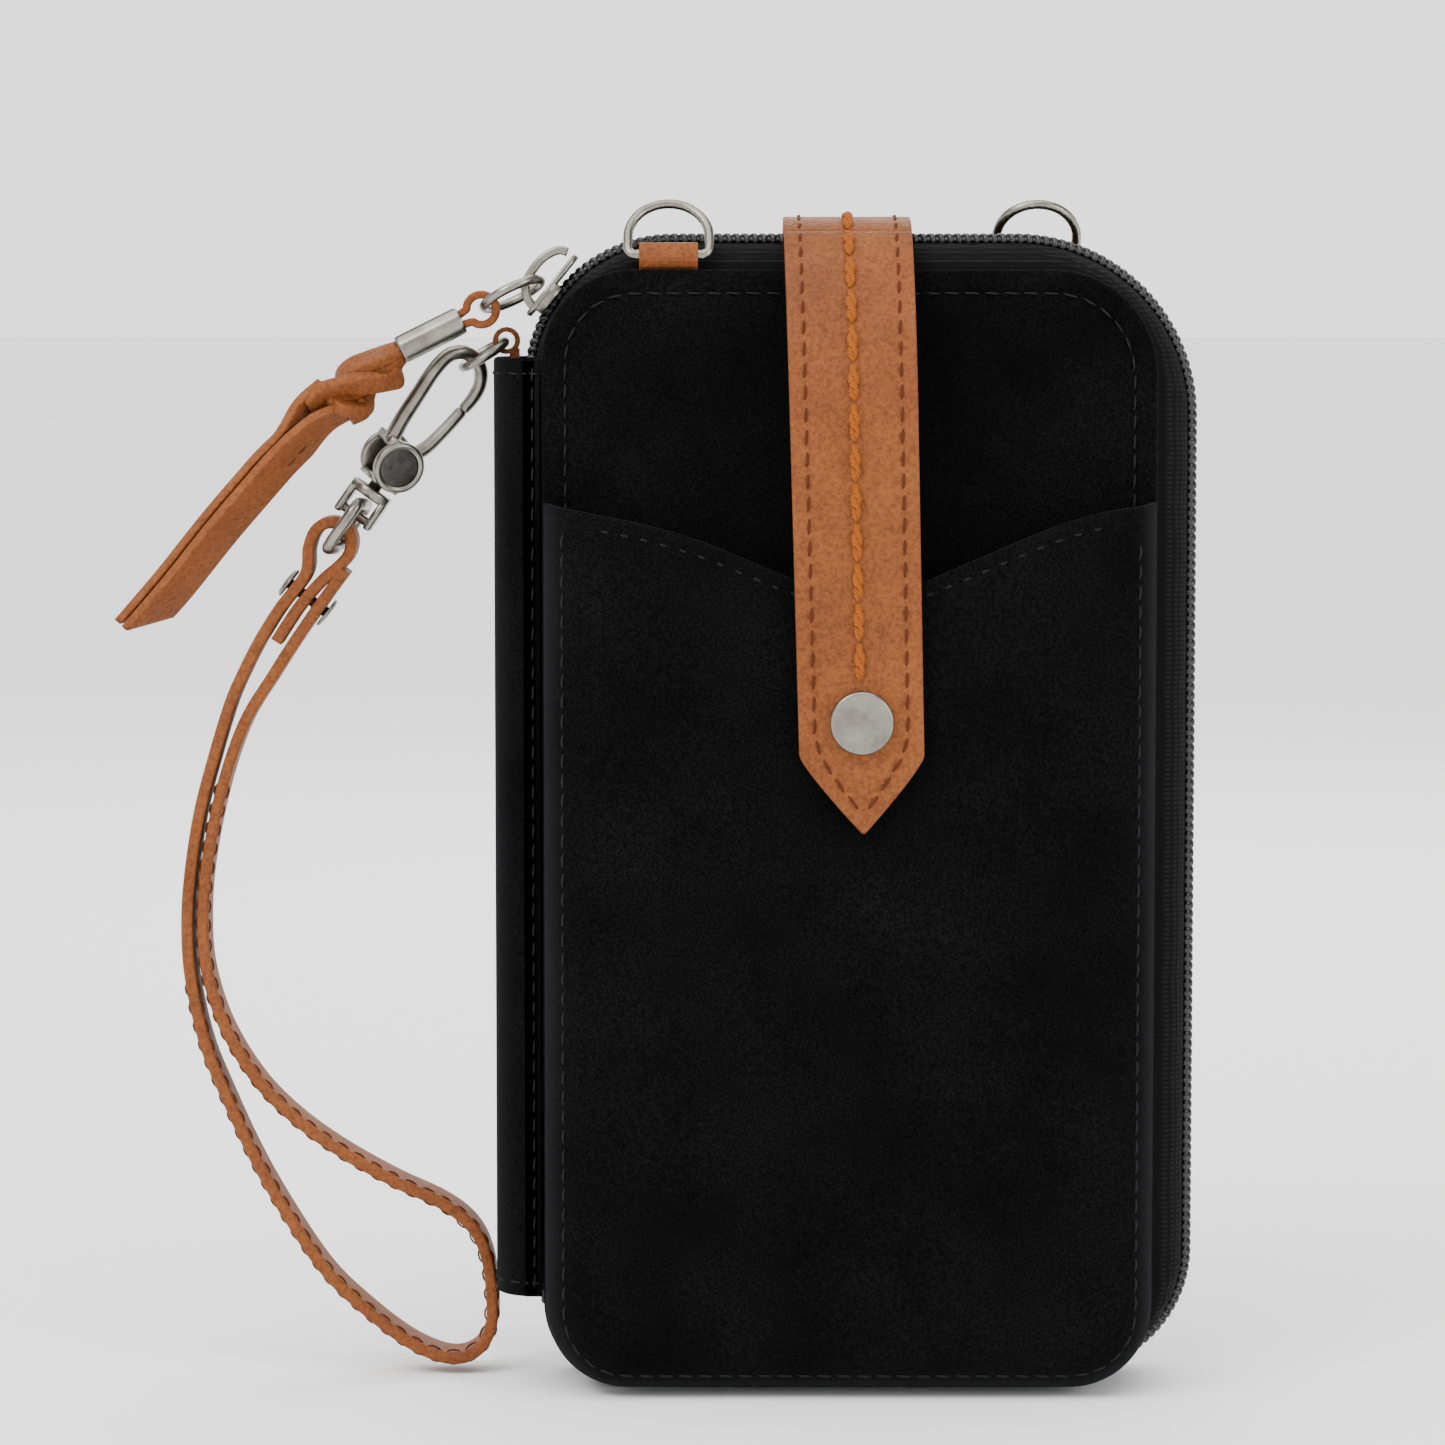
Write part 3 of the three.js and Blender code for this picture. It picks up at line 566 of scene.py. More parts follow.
def cover(node, face, body):
    """A suede cover: turned edges, a sunk seam and a very slightly padded middle."""
    front, back = COVER_FACE, COVER_FACE - COVER_THICK
    profile = [(14, back), (1.2, back), (0.35, back + 0.15), (0, back + 0.6), (0.05, front - 0.45),
               (0.35, front - 0.12), (0.9, front), (2.6, front), (3.2, front - 0.1),
               (STITCH_INSET, front - 0.22), (4.0, front - 0.1), (4.7, front), (7, front + 0.04),
               (14, front + 0.06)]
    rings = [PANEL.ring(inset, face * depth) for inset, depth in profile]
    Build().loft(rings).piece(node + "_suede", SUEDE, "black_suede", body, [node])


def cover_stitches(name, face, body):
    path = PANEL.ring(STITCH_INSET, face * (COVER_FACE - 0.05), 24, 40)
    path.append(path[0])
    stitches(path, V(0, face, 0), *SMALL_STITCH).piece(name, BLACK_THREAD, "black_suede", body)


cover("front_panel", -1, "front_cover")
cover("back_panel", 1, "root")
cover_stitches("front_cover_stitching", -1, "front_cover")
cover_stitches("back_cover_stitching", 1, "root")
for node in ("front_board", "back_board"):
    soften(node, BOARD, 0.15)
for node in ("front_lining", "back_lining", "inner_slip_pocket", *(f"card_slot_{i}" for i in range(1, 5))):
    soften(node, LINING, 0.15)


def slot_seam(node, body, face):
    """A hem line of stitches below the mouth of an inner pocket."""
    low, high = node_box(node)
    y = high.y if face > 0 else low.y
    line = [V(low.x + 2, y, high.z - 2.2), V(high.x - 2, y, high.z - 2.2)]
    stitches(line, V(0, face, 0), 2.3, 0.8, 0.16).piece(node + "_hem", BLACK_THREAD, "lining", body)


for i in range(1, 5):
    slot_seam(f"card_slot_{i}", "root", -1)
slot_seam("inner_slip_pocket", "front_cover", 1)


# ---- spine band ----

def spine_band():
    """The U-shaped suede band round the hinge side, with turned ends and rows of stitches."""
    low, high = node_box("spine_band")
    half, round_out, thick = high.y, 6.5, 1.2
    right, left = high.x, low.x

    def wrap(inset):
        """The U in cross-section, drawn in from its outer face by the inset."""
        r = round_out - inset
        cx = left + round_out
        arc = [(cx - r * math.sin(a), (half - round_out) + r * math.cos(a))
               for a in (math.radians(9 * i) for i in range(11))]
        lower = [(x, -y) for x, y in reversed(arc)]
        return [(right, half - inset), (right - 2.5, half - inset)] + arc + lower \
            + [(right - 2.5, -half + inset), (right, -half + inset)]

    seam_out, seam_in = half - thick - 0.25, half - thick - 0.85
    seam_tongue = [(right - 1, seam_in), (right + 2.4, seam_in), (right + 2.4, seam_out), (right, seam_out)]

    def ring(z, grow):
        """One cross-section; its back edge ends in a tongue that is tucked under the back cover."""
        outer, inner = wrap(grow), wrap(thick - grow)
        return [V(x, y, z) for x, y in outer + inner[:0:-1] + seam_tongue]

    levels = [(low.z, 0.4), (low.z + 0.15, 0.12), (low.z + 0.5, 0)] \
        + [(low.z + (high.z - low.z) * k / 30, 0) for k in range(1, 30)] \
        + [(high.z - 0.5, 0), (high.z - 0.15, 0.12), (high.z, 0.4)]
    Build().loft([ring(z, g) for z, g in levels]).piece(
        "spine_band_suede", SUEDE, "black_suede", "root", ["spine_band"])
    bend = V(left + round_out, 0, 0)

    def outward(p):
        """Away from the band: fanned round its bend, straight on its flat sides."""
        if p.x < bend.x:
            return V(p.x - bend.x, p.y - max(min(p.y, 3), -3), 0).normalized()
        return V(0, math.copysign(1, p.y), 0)

    sewn = []
    for z in (low.z + 2.2, high.z - 2.4):
        sewn.append(stitches([V(x, y, z) for x, y in wrap(0)], outward, 2.2, 0.8, 0.2))
    for face in (-1, 1):
        line = [V(right - 1.1, face * half, low.z + 1), V(right - 1.1, face * half, high.z - 1)]
        sewn.append(stitches(line, V(0, face, 0), 2.2, 0.8, 0.18))
    merge(*sewn).piece("spine_band_stitching", BLACK_THREAD, "black_suede", "root")


spine_band()


# ---- zipper ----

TAPE_ENDS = (138, 34)
CORNER_STEPS = 22
TAPE_OUT, TAPE_IN, TAPE_END = (1.6, 7.0), (2.15, 6.5), 2.05  # each face's inset and depth; depth at the coil
LOOP_START, LOOP_AT_SLIDER = 0.62, 1.08
COIL_PITCH = 1.35


def rail(outline):
    """Points with outward directions, from the spine round three sides and back to the spine."""
    out = [(V(outline.left, 0, TAPE_ENDS[0]), -X)]
    corners = outline.corners(0)
    for n, (cx, cz, r, start) in enumerate(corners):
        for i in range(CORNER_STEPS + 1):
            a = math.radians(start - 90 * i / CORNER_STEPS)
            out.append((V(cx + r * math.cos(a), 0, cz + r * math.sin(a)), V(math.cos(a), 0, math.sin(a))))
        if n < 3:
            nx, nz, nr, ns = corners[n + 1]
            b = math.radians(ns)
            goal = V(nx + nr * math.cos(b), 0, nz + nr * math.sin(b))
            here, way = out[-1]
            out += [(here.lerp(goal, k / 30), way) for k in range(1, 30)]
    out.append((V(outline.left, 0, TAPE_ENDS[1]), -X))
    return out


coil_rail, panel_rail = rail(COIL), rail(PANEL)
spine_side = lambda obj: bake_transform(obj)


def tape(face):
    """The woven tape, from under the cover's edge out to the coil, a little gathered in its length."""
    angles = [0, 8, 18, 28, 38, 48, 58, 68, 78, 86, 90]
    rings = []
    for i, ((c, out), (edge, edge_out)) in enumerate(zip(coil_rail, panel_rail)):
        tuck = edge - edge_out

        def at(inset, start, angle):
            goal = c - out * inset
            s, k = math.sin(math.radians(angle)), math.cos(math.radians(angle))
            pucker = 0.12 * math.sin(i * 1.9) * s * k * 2
            return (tuck.lerp(goal, s) + out * pucker) + Y * face * (start - (start - TAPE_END) * (1 - k))
        rings.append([at(*TAPE_OUT, a) for a in angles] + [at(*TAPE_IN, a) for a in reversed(angles)])
    node = f"zipper_tape_{SIDE_NAME[face]}"
    return Build().loft(rings).piece(node + "_woven", TAPE, "zip_tape", None, [node])


def coil(face):
    """One row of nylon loops on its sewn cord, thinned where the slider's post runs."""
    node = f"zipper_coil_{SIDE_NAME[face]}"
    low, high = node_box(node)
    outer = max(abs(low.y), abs(high.y))
    centre = [c for c, _ in coil_rail]
    places = spaced(centre, int(run_length(centre) / COIL_PITCH))
    whole = Build()
    for p, along in zip(places, directions(places)):
        out = V(-along.z, 0, along.x)
        start = LOOP_AT_SLIDER if p.x < -24 and p.z > 150 else LOOP_START
        loop = [(start, -1.45, -0.3), (start - 0.02, -1.0, -0.38), (start + 0.1, -0.62, -0.3),
                (outer - 0.75, -0.6, 0.25), (outer - 0.6, -0.95, 0.38), (outer - 0.62, -1.4, 0.3)]
        path = [p + Y * face * y + out * v + along * slant for y, v, slant in loop]
        whole.join(wire(curve(path, 10), 0.52, 8))
    cord = [c - out * 1.05 + Y * face * (outer - 0.75) for c, out in coil_rail]
    whole.join(wire(cord, 0.42, 8))
    return whole.piece(node + "_loops", NYLON, "zip_coil", None, [node])


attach(tape(1), "root")
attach(coil(1), "root")
spine_side(tape(-1))
spine_side(coil(-1))
for node in ("zip_stop_top", "zip_stop_bottom"):
    soften(node, NICKEL, 0.3)


# ---- phone pocket ----

SNAP = V(2.1, 0, 104)
POCKET_DEPTH = (9.8, 20.0)
HEM = 2.3
MOUTH = [(-47, 136.8), (-38, 135.2), (-30, 133.6), (-22, 131.2), (-14, 127.8), (-6, 124.6), (2.1, 123),
         (10, 124.4), (17, 127.4), (24, 130.4), (31, 133.4), (39, 135.8), (48, 136.8)]


def mouth_height(x):
    """The height of the pocket's curved mouth."""
    for (x0, z0), (x1, z1) in zip(MOUTH, MOUTH[1:]):
        if x <= x1:
            t = min(max((x - x0) / (x1 - x0), 0), 1)
            return z0 + (z1 - z0) * t
    return MOUTH[-1][1]


def smoothed_mouth(x):
    return sum(mouth_height(x + d) for d in (-3, -1.5, 0, 1.5, 3)) / 5


def pocket_depth(x, z, grow=0.0):
    """How far in front of the middle plane the pocket's skin is, with the fullness of soft suede."""
    d = PANEL.inside(x, z) - 0.3 - grow
    back, front = POCKET_DEPTH
    rise = min(max(d / 7.0, 0), 1)
    full = (1 - (1 - rise) ** 2.4) ** (1 / 2.4)
    soft = 0.22 * math.sin(x * 0.11 + z * 0.05) * math.sin(z * 0.063 + 1.1) * rise
    seam = -0.28 * math.exp(-((smoothed_mouth(x) - HEM - z) / 0.45) ** 2)
    return back + (front - grow - back - 0.3) * full + soft + seam


def phone_pocket():
    """The pocket's skin: a tray of suede 1.3 mm thick with an open, curved mouth."""
    columns, rows = 90, 110
    thick = 1.3
    edge = [0.5 - 0.5 * math.cos(math.pi * k / columns) for k in range(columns + 1)]
    verts, faces = [], []
    for grow in (0.0, thick):
        for r in range(rows + 1):
            start = PANEL.bottom + 0.3 + grow
            bias = (r / rows) ** 1.35
            z_row = start + 0.001 + (smoothed_mouth(0) - start) * bias
            left, right = PANEL.edge_x(z_row, 0.3 + grow)
            for share in edge:
                x = left + (right - left) * share
                z = z_row + (smoothed_mouth(x) - smoothed_mouth(0)) * bias
                verts.append(V(x, -pocket_depth(x, z, grow), z))
    width = columns + 1
    block = width * (rows + 1)
    at = lambda layer, r, c: layer * block + r * width + c
    for layer in (0, 1):
        for r in range(rows):
            for c in range(columns):
                faces.append((at(layer, r, c), at(layer, r, c + 1), at(layer, r + 1, c + 1),
                              at(layer, r + 1, c)))
    for c in range(columns):
        for r in (0, rows):
            faces.append((at(0, r, c), at(0, r, c + 1), at(1, r, c + 1), at(1, r, c)))
    for r in range(rows):
        for c in (0, columns):
            faces.append((at(0, r, c), at(0, r + 1, c), at(1, r + 1, c), at(1, r, c)))
    piece("phone_pocket_suede", verts, faces, SUEDE, "front_cover", ["phone_pocket"])
    hem = [V(x, -pocket_depth(x, smoothed_mouth(x) - HEM) - 0.02, smoothed_mouth(x) - HEM)
           for x in (PANEL.left + 1.2 + (PANEL.right - PANEL.left - 2.4) * k / 120 for k in range(121))]
    seam = [p for p in PANEL.ring(3.4, 0, 24, 40) if p.z < 133]
    start = max(range(len(seam)), key=lambda i: (seam[i] - seam[i - 1]).length)
    seam = [V(p.x, 0.02 - pocket_depth(p.x, p.z), p.z) for p in seam[start:] + seam[:start]]
    slope = lambda p: V(p.x * 0.015, -1, (p.z - 60) * 0.002).normalized()
    merge(stitches(hem, V(0, -1, 0), *SMALL_STITCH), stitches(seam, slope, *SMALL_STITCH)).piece(
        "pocket_stitching", BLACK_THREAD, "black_suede", "front_cover")


phone_pocket()
soften("snap_stud", NICKEL, 0.2)


# ---- closure strap ----

STRAP_LINE = [(10.85, 132), (10.85, 150), (10.85, 166), (10.75, 172.6), (8.6, 176.6), (3.5, 178.95),
              (-2, 179), (-6.5, 178), (-10.8, 175.1), (-15, 170.2), (-18.6, 163.5), (-20.9, 155),
              (-21.35, 146), (-21.35, 120), (-21.35, 87.2)]
STRAP_WIDTH, STRAP_FACE, SHOULDER, TIP = 19.5, -21.35, 98.8, 87.2
PLY = 0.85


def strap_centre(p):
    """The strap drifts a little to the right on its way down."""
    z = p.z if p.y < 0 else COIL.top
    return 0.15 + (2.4 - 0.15) * (COIL.top - z) / (COIL.top - TIP)


def strap_width(p):
    if p.y > 0 or p.z > SHOULDER:
        return STRAP_WIDTH - 0.008 * (COIL.top - p.z if p.y < 0 else 0)
    t = (SHOULDER - p.z) / (SHOULDER - TIP)
    return max((STRAP_WIDTH - 0.63) * (1 - t ** 1.15) + 0.6 * t, 0.5)


def strap_path():
    line = curve([V(0, y, z) for y, z in STRAP_LINE], 240)
    return [V(strap_centre(p), p.y, p.z) for p in line]


STRAP_PATH = strap_path()
BRIDGE_MIDDLE = next(i for i, p in enumerate(STRAP_PATH) if p.y < -8)


def on_strap(index, across, out):
    """A point beside the strap's path: across its width and out of its face."""
    p = STRAP_PATH[index]
    t = directions(STRAP_PATH[max(index - 1, 0):index + 2])[min(index, 1)]
    return p + X * across - X.cross(t).normalized() * out


def strap_out(p):
    """The direction away from the strap's face nearest to p."""
    near = min(range(1, len(STRAP_PATH) - 1),
               key=lambda i: (STRAP_PATH[i].y - p.y) ** 2 + (STRAP_PATH[i].z - p.z) ** 2)
    return -X.cross(STRAP_PATH[near + 1] - STRAP_PATH[near - 1]).normalized()


def strap_ply(first, last, lift):
    """One ply of the strap between two places on its path."""
    return strip(STRAP_PATH[first:last + 1], X, strap_width, PLY, 0.28, lift)


def strap():
    """Two plies in a rear and a front half, their rows of stitches, and the thick thread down the middle."""
    cross_fold = lambda obj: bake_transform(obj)
    cross_bend = lambda obj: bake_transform(obj)
    last = len(STRAP_PATH) - 1
    lift = PLY / 2 + 0.05
    halves = (("rear", 0, BRIDGE_MIDDLE, cross_fold, "strap_anchor", "strap_bridge"),
              ("front", BRIDGE_MIDDLE, last, cross_bend, "strap_face", "strap_backing"))
    for label, first, end, hold, face_node, backing_node in halves:
        hold(strap_ply(first, end, -lift).piece(
            f"strap_{label}_face", TAN, "tan_leather", None, [face_node]))
        hold(strap_ply(first, end, lift).piece(
            f"strap_{label}_backing", TAN_EDGE, "tan_leather", None, [backing_node]))
        rows = []
        for side in (-1, 1):
            path = []
            for i in range(first, end + 1):
                p = STRAP_PATH[i]
                if p.y < 0 and p.z < SHOULDER + 1:
                    continue
                path.append(on_strap(i, side * (strap_width(p) / 2 - 2.4), PLY + 0.02))
            if label == "front":
                path.append(V(SNAP.x + side * 3.6, STRAP_FACE - PLY - 0.07, TIP + 7.4))
                path.append(V(strap_centre(V(0, -1, TIP)) + side * 0.5, STRAP_FACE - PLY - 0.07, TIP + 3.4))
            rows.append(path)
        sewn = merge(*(stitches(row, strap_out, 2.5, 0.8, 0.26) for row in rows))
        hold(sewn.piece(f"strap_{label}_stitching", BROWN_THREAD, "accent_cord"))
    begin = next(i for i, p in enumerate(STRAP_PATH) if p.y < -6) - 9
    for label, first, end, hold, nodes in (("rear", begin, BRIDGE_MIDDLE, cross_fold, []),
                                           ("front", BRIDGE_MIDDLE, last, cross_bend, ["strap_accent_cord"])):
        path = [on_strap(i, 0, PLY + 0.15) for i in range(first, end + 1)
                if STRAP_PATH[i].z > SNAP.z + 6 or STRAP_PATH[i].y > 0]
        sewn = twisted_stitches(path, strap_out, 5.1, 0.7, 0.82)
        hold(sewn.piece(f"accent_thread_{label}", TAN_THREAD, "accent_cord", None, nodes))


def twisted_stitches(points, outward, length, gap, radius):
    """Thick two-strand stitches, each strand wound round the other."""
    whole = Build()
    count = max(int(run_length(points) / (length + gap)), 1)
    fine = spaced(points, count * 16 + 1)
    for i in range(count):
        span = fine[i * 16 + 1:i * 16 + 16]
        for strand in (0, math.pi):
            path = []
            for k, p in enumerate(span):
                t = k / (len(span) - 1)
                out = outward(p)
                along = (span[min(k + 1, len(span) - 1)] - span[max(k - 1, 0)]).normalized()
                side = along.cross(out).normalized()
                turn = strand + t * 2.5 * math.pi
                swell = math.sin(math.pi * min(max(t, 0.02), 0.98)) ** 0.4
                rise = 0.1 + radius * 0.45 * swell * (1 + 0.5 * math.sin(turn)) - 0.35 * (1 - swell)
                path.append(p + out * rise + side * radius * 0.5 * math.cos(turn) * swell)
            whole.join(wire(path, lambda t: radius * 0.62 * (0.55 + 0.45 * math.sin(math.pi * t) ** 0.5), 8))
    return whole


strap()


def snap():
    """The cap with its rolled rim, and the socket behind it."""
    face = STRAP_FACE - PLY - 0.1
    profile = [(0, 0), (4.45, 0), (4.7, 0.15), (4.8, 0.5), (4.8, 1.1), (4.74, 1.36), (4.55, 1.5), (4.4, 1.53),
               (4.2, 1.5), (2.5, 1.52), (0, 1.54)]
    lathe(profile, V(SNAP.x, face, SNAP.z), V(0, -1, 0), 56).piece(
        "snap_cap_domed", NICKEL, "nickel", "strap_flap", ["snap_cap"])
    soften("snap_socket", NICKEL, 0.15)


snap()


# ---- D-rings and their tabs ----

def arc_points(cx, cz, r, start, end, steps):
    return [V(cx + r * math.cos(a), 0, cz + r * math.sin(a))
            for a in (math.radians(start + (end - start) * i / steps) for i in range(steps + 1))]


def d_ring(side, face, body):
    low, high = node_box(f"d_ring_tab_{side}")
    x = (low.x + high.x) / 2
    half, reach, lean, bar = 6.2, 9.5, 35, V(x, face * 8.6, 174.2)
    bend = 1.2
    path = arc_points(0, reach - half, half, 180, 0, 36) + arc_points(half - bend, bend, bend, 0, -90, 6) \
        + [V(2, 0, 0), V(-2, 0, 0)] + arc_points(bend - half, bend, bend, -90, -180, 6)
    place = Matrix.Translation(bar) @ Matrix.Rotation(math.radians(face * lean), 4, "X")
    wire(curve(path, 90, True), 0.74, 16, True).turned(place).piece(
        f"d_ring_{side}_wire", NICKEL, "nickel", body, [f"d_ring_{side}"])


d_ring("left", -1, "ring_left")
d_ring("right", 1, "ring_right")
for tab in ("d_ring_tab_left", "d_ring_tab_right"):
    soften(tab, TAN, 0.22)


# ---- zipper slider ----

SLIDER_ANGLE = 141
SLIDER_FRAME = Matrix.Translation(V(COIL.left + COIL_RADII["tl"], 0, COIL.top - COIL_RADII["tl"])) \
    @ Matrix.Rotation(math.radians(90 - SLIDER_ANGLE), 4, "Y")


def slab(outline, low, high, bevel):
    """A plate between two heights whose outline is a list of (x, y); its edges are rounded."""
    def ring(shrink, z):
        n = len(outline)
        pts = []
        for i, (x, y) in enumerate(outline):
            ax, ay = outline[i - 1]
            bx, by = outline[(i + 1) % n]
            way = Vector((bx - ax, by - ay)).normalized()
            pts.append(V(x - way.y * shrink, y + way.x * shrink, z))
        return pts
    steps = [(bevel, low), (bevel * 0.3, low + bevel * 0.3), (0, low + bevel), (0, high - bevel),
             (bevel * 0.3, high - bevel * 0.3), (bevel, high)]
    return Build().loft([ring(s, z) for s, z in steps])


def plate(x0, x1, y0, y1, low, high, bevel):
    return slab([(x0, y0), (x1, y0), (x1, y1), (x0, y1)], low, high, bevel)


def slider():
    """Upper and lower plates, side flanges, the nose post and an open C-shaped bridge."""
    half = [(-5.9, -2.6), (-5.5, -3.8), (-4.3, -4.5), (-1, -4.5), (2, -4.0), (4.6, -3.3), (5.6, -2.6),
            (5.9, -1.6)]
    body = half + [(x, -y) for x, y in reversed(half)]
    lower = [(x * 0.78, y * 0.86) for x, y in body]
    top = slab(body, 23.35, 24.25, 0.25)
    under = slab(lower, 19.0, 19.9, 0.22)
    post = plate(-4.6, -3.4, -0.4, 0.4, 19.6, 23.9, 0.1)
    flanges = [plate(-4.3, 0.5, y0, y1, 22.2, 23.8, 0.15) for y0, y1 in ((3.75, 4.45), (-4.45, -3.75))]
    hook = curve([V(x, 0, z) for x, z in ((-4.4, 24), (-4.0, 25.6), (-2.6, 27.1), (0, 27.65), (2.6, 27.5),
                                          (4.7, 26.5), (5.4, 25.2))], 40)
    bridge = strip(hook, Y, lambda p: 2.5 - 0.5 * max(min((p.z - 24) / 4, 1), 0), 1.35, 0.4)
    merge(top, under, post, *flanges, bridge).turned(SLIDER_FRAME).piece(
        "zip_slider_cast", NICKEL, "nickel", "zip_slider", ["zip_slider_body"])


slider()


# ---- rings ----

def ring_frame(x, y, z, slope, tilt):
    return Matrix.Translation(V(x, y, z)) @ Matrix.Rotation(math.radians(-slope), 4, "Y") \
        @ Matrix.Rotation(math.radians(-tilt), 4, "X")


def jump_ring(name, body, node, radius, thick, place):
    path = [V(radius * math.cos(a), radius * math.sin(a), 0) for a in turns(72)]
    wire(path, thick, 18, True).turned(place).piece(name, NICKEL, "nickel", body, [node])


jump_ring("pull_ring_wire", "pull_link", "pull_ring", 4.8, 0.72, ring_frame(-51.2, -0.8, 168.2, 26, 12))
jump_ring("side_ring_wire", "side_link", "side_ring", 3.85, 0.68, ring_frame(-55.8, 4.25, 158.9, 31, -7))
soften("spine_loop", TAN, 0.3)


# ---- zip pull: thong, ferrule, knot and two tails ----

def zip_pull():
    start, end = V(-59, -1.3, 164.3), V(-68.4, -2.3, 159.6)
    axis = (end - start).normalized()
    length = (end - start).length
    strip(thong_path(start, axis), Y, 1.9, 1.25, 0.5).piece(
        "pull_thong", TAN, "tan_leather", "zip_pull", ["pull_loop"])
    outline = [(1.62, 0.25), (1.8, 0.02), (2.0, 0), (2.17, 0.2), (2.2, 0.6), (2.2, length - 0.6),
               (2.17, length - 0.2), (2.0, length), (1.8, length - 0.02), (1.62, length - 0.25)]
    lathe(outline, start, axis, 48, True).piece(
        "pull_ferrule_tube", NICKEL, "nickel", "zip_pull", ["pull_ferrule"])

    knot = Build()
    strands = [
        [(-66.5, -2.0, 160.8), (-69.5, -2.6, 159.3), (-72.5, -4.2, 158.2), (-75.6, -4.4, 156.9),
         (-77.0, -2.8, 155.0), (-75.4, -1.0, 152.6), (-74.2, -1.6, 150.8), (-76.2, -3.0, 149.7)],
        [(-66.5, -2.6, 160.2), (-69.2, -2.4, 158.0), (-69.2, -2.2, 155.4), (-71.4, -4.6, 154.9),
         (-74.5, -5.6, 154.6), (-77.5, -5.0, 153.8), (-80.0, -3.8, 153.0), (-82.4, -3.2, 150.8)],
        [(-69.6, -1.0, 158.4), (-71.8, 0.2, 156.6), (-73.6, 0.3, 153.6), (-73.9, -1.8, 151.0),
         (-76.6, -4.6, 151.0), (-78.6, -4.9, 151.6)],
    ]
    facing = [V(-0.35, 0.85, 0.4), V(0.3, 0.75, -0.6), V(-0.35, 0.85, 0.4)]
    for n, strand in enumerate(strands):
        path = curve([V(*p) for p in strand], 44)
        width = lambda p: min(2.2 + 0.5 * (p - path[0]).length, 4.3) if n < 2 else 4.3
        knot.join(strip(path, facing[n].normalized(), width, 1.9, 0.6))
    middle = [V(-68.9, -2.4, 159.2), V(-72, -2.6, 156.8), V(-75.6, -2.9, 154.2), V(-78.6, -3.2, 151.6)]
    knot.join(wire(curve(middle, 30), lambda t: 1.7 + 0.9 * math.sin(math.pi * min(t * 1.1, 1)), 16))
    knot.piece("pull_knot_strands", TAN, "tan_leather", "zip_pull", ["pull_knot"])

    turn = math.radians(60)
    across = V(0.764 * math.cos(turn), math.sin(turn), -0.645 * math.cos(turn)).normalized()
    run = [(-84, 145), (-88.5, 140.5), (-97, 130.3), (-107.3, 118)]
    for label, head, lift in (("front", [(-76.6, 150.4), (-80.2, 148.6)], 0),
                              ("back", [(-78.6, 153.2), (-81.6, 149.8)], 1.75)):
        points = curve([V(x, -3.4, z) for x, z in head + run], 60)
        width = lambda p: 4.6 + 3.6 * min((p - points[0]).length / 9, 1)
        leaf = strip(points, across, width, 1.45, 0.35, lift, 2.8, lambda i: 0.12 * math.sin(i * 0.22))
        leaf.piece(f"pull_tail_{label}_leaf", TAN, "tan_leather", "zip_pull", [f"pull_tail_{label}"])
    face = -across.cross((V(-97, 0, 130.3) - V(-88.5, 0, 140.5)).normalized()).normalized()
    slit = [V(-82.9, -4.6, 145.9) + face * 0.72, V(-86.3, -4.6, 142.0) + face * 0.72]
    stitches(slit, face, 1.4, 0.5, 0.22).piece("pull_tail_tack", BROWN_THREAD, "accent_cord", "zip_pull")


def thong_path(start, axis):
    """The thong's path: out of the ferrule, round the ring and in again."""
    centre = V(-55.95, -1.2, 165.85)
    back = (start - centre).normalized()
    side = back.cross(Y).normalized()
    path = [start + axis * 3 + side * 0.7, start + axis * 0.6 + side * 0.75]
    for k in range(25):
        a = math.radians(28 + 304 * k / 24)
        path.append(centre + back * 2.3 * math.cos(a) + side * 2.3 * math.sin(a))
    path += [start + axis * 0.6 - side * 0.75, start + axis * 3 - side * 0.7]
    return curve(path, 80)


zip_pull()


# ---- lobster clasp ----

CLASP_Y = 4.3


def clasp_frame(turn):
    """The clasp's place and lean, turned about its own axis."""
    return Matrix.Translation(V(-70.1, CLASP_Y, 142.3)) @ Matrix.Rotation(math.radians(35), 4, "Y") \
        @ Matrix.Rotation(math.radians(turn), 4, "Z")


CLASP_FRAME, SWIVEL_FRAME = clasp_frame(30), clasp_frame(-5)
HOOK = [(-2.3, 2.6), (-2.8, 6), (-3, 11), (-3.1, 15.5), (-2.5, 18.6), (-0.9, 20.2), (1.2, 20.5), (3.4, 19.6),
        (4.9, 17.6), (5.3, 15.2), (5.1, 13)]


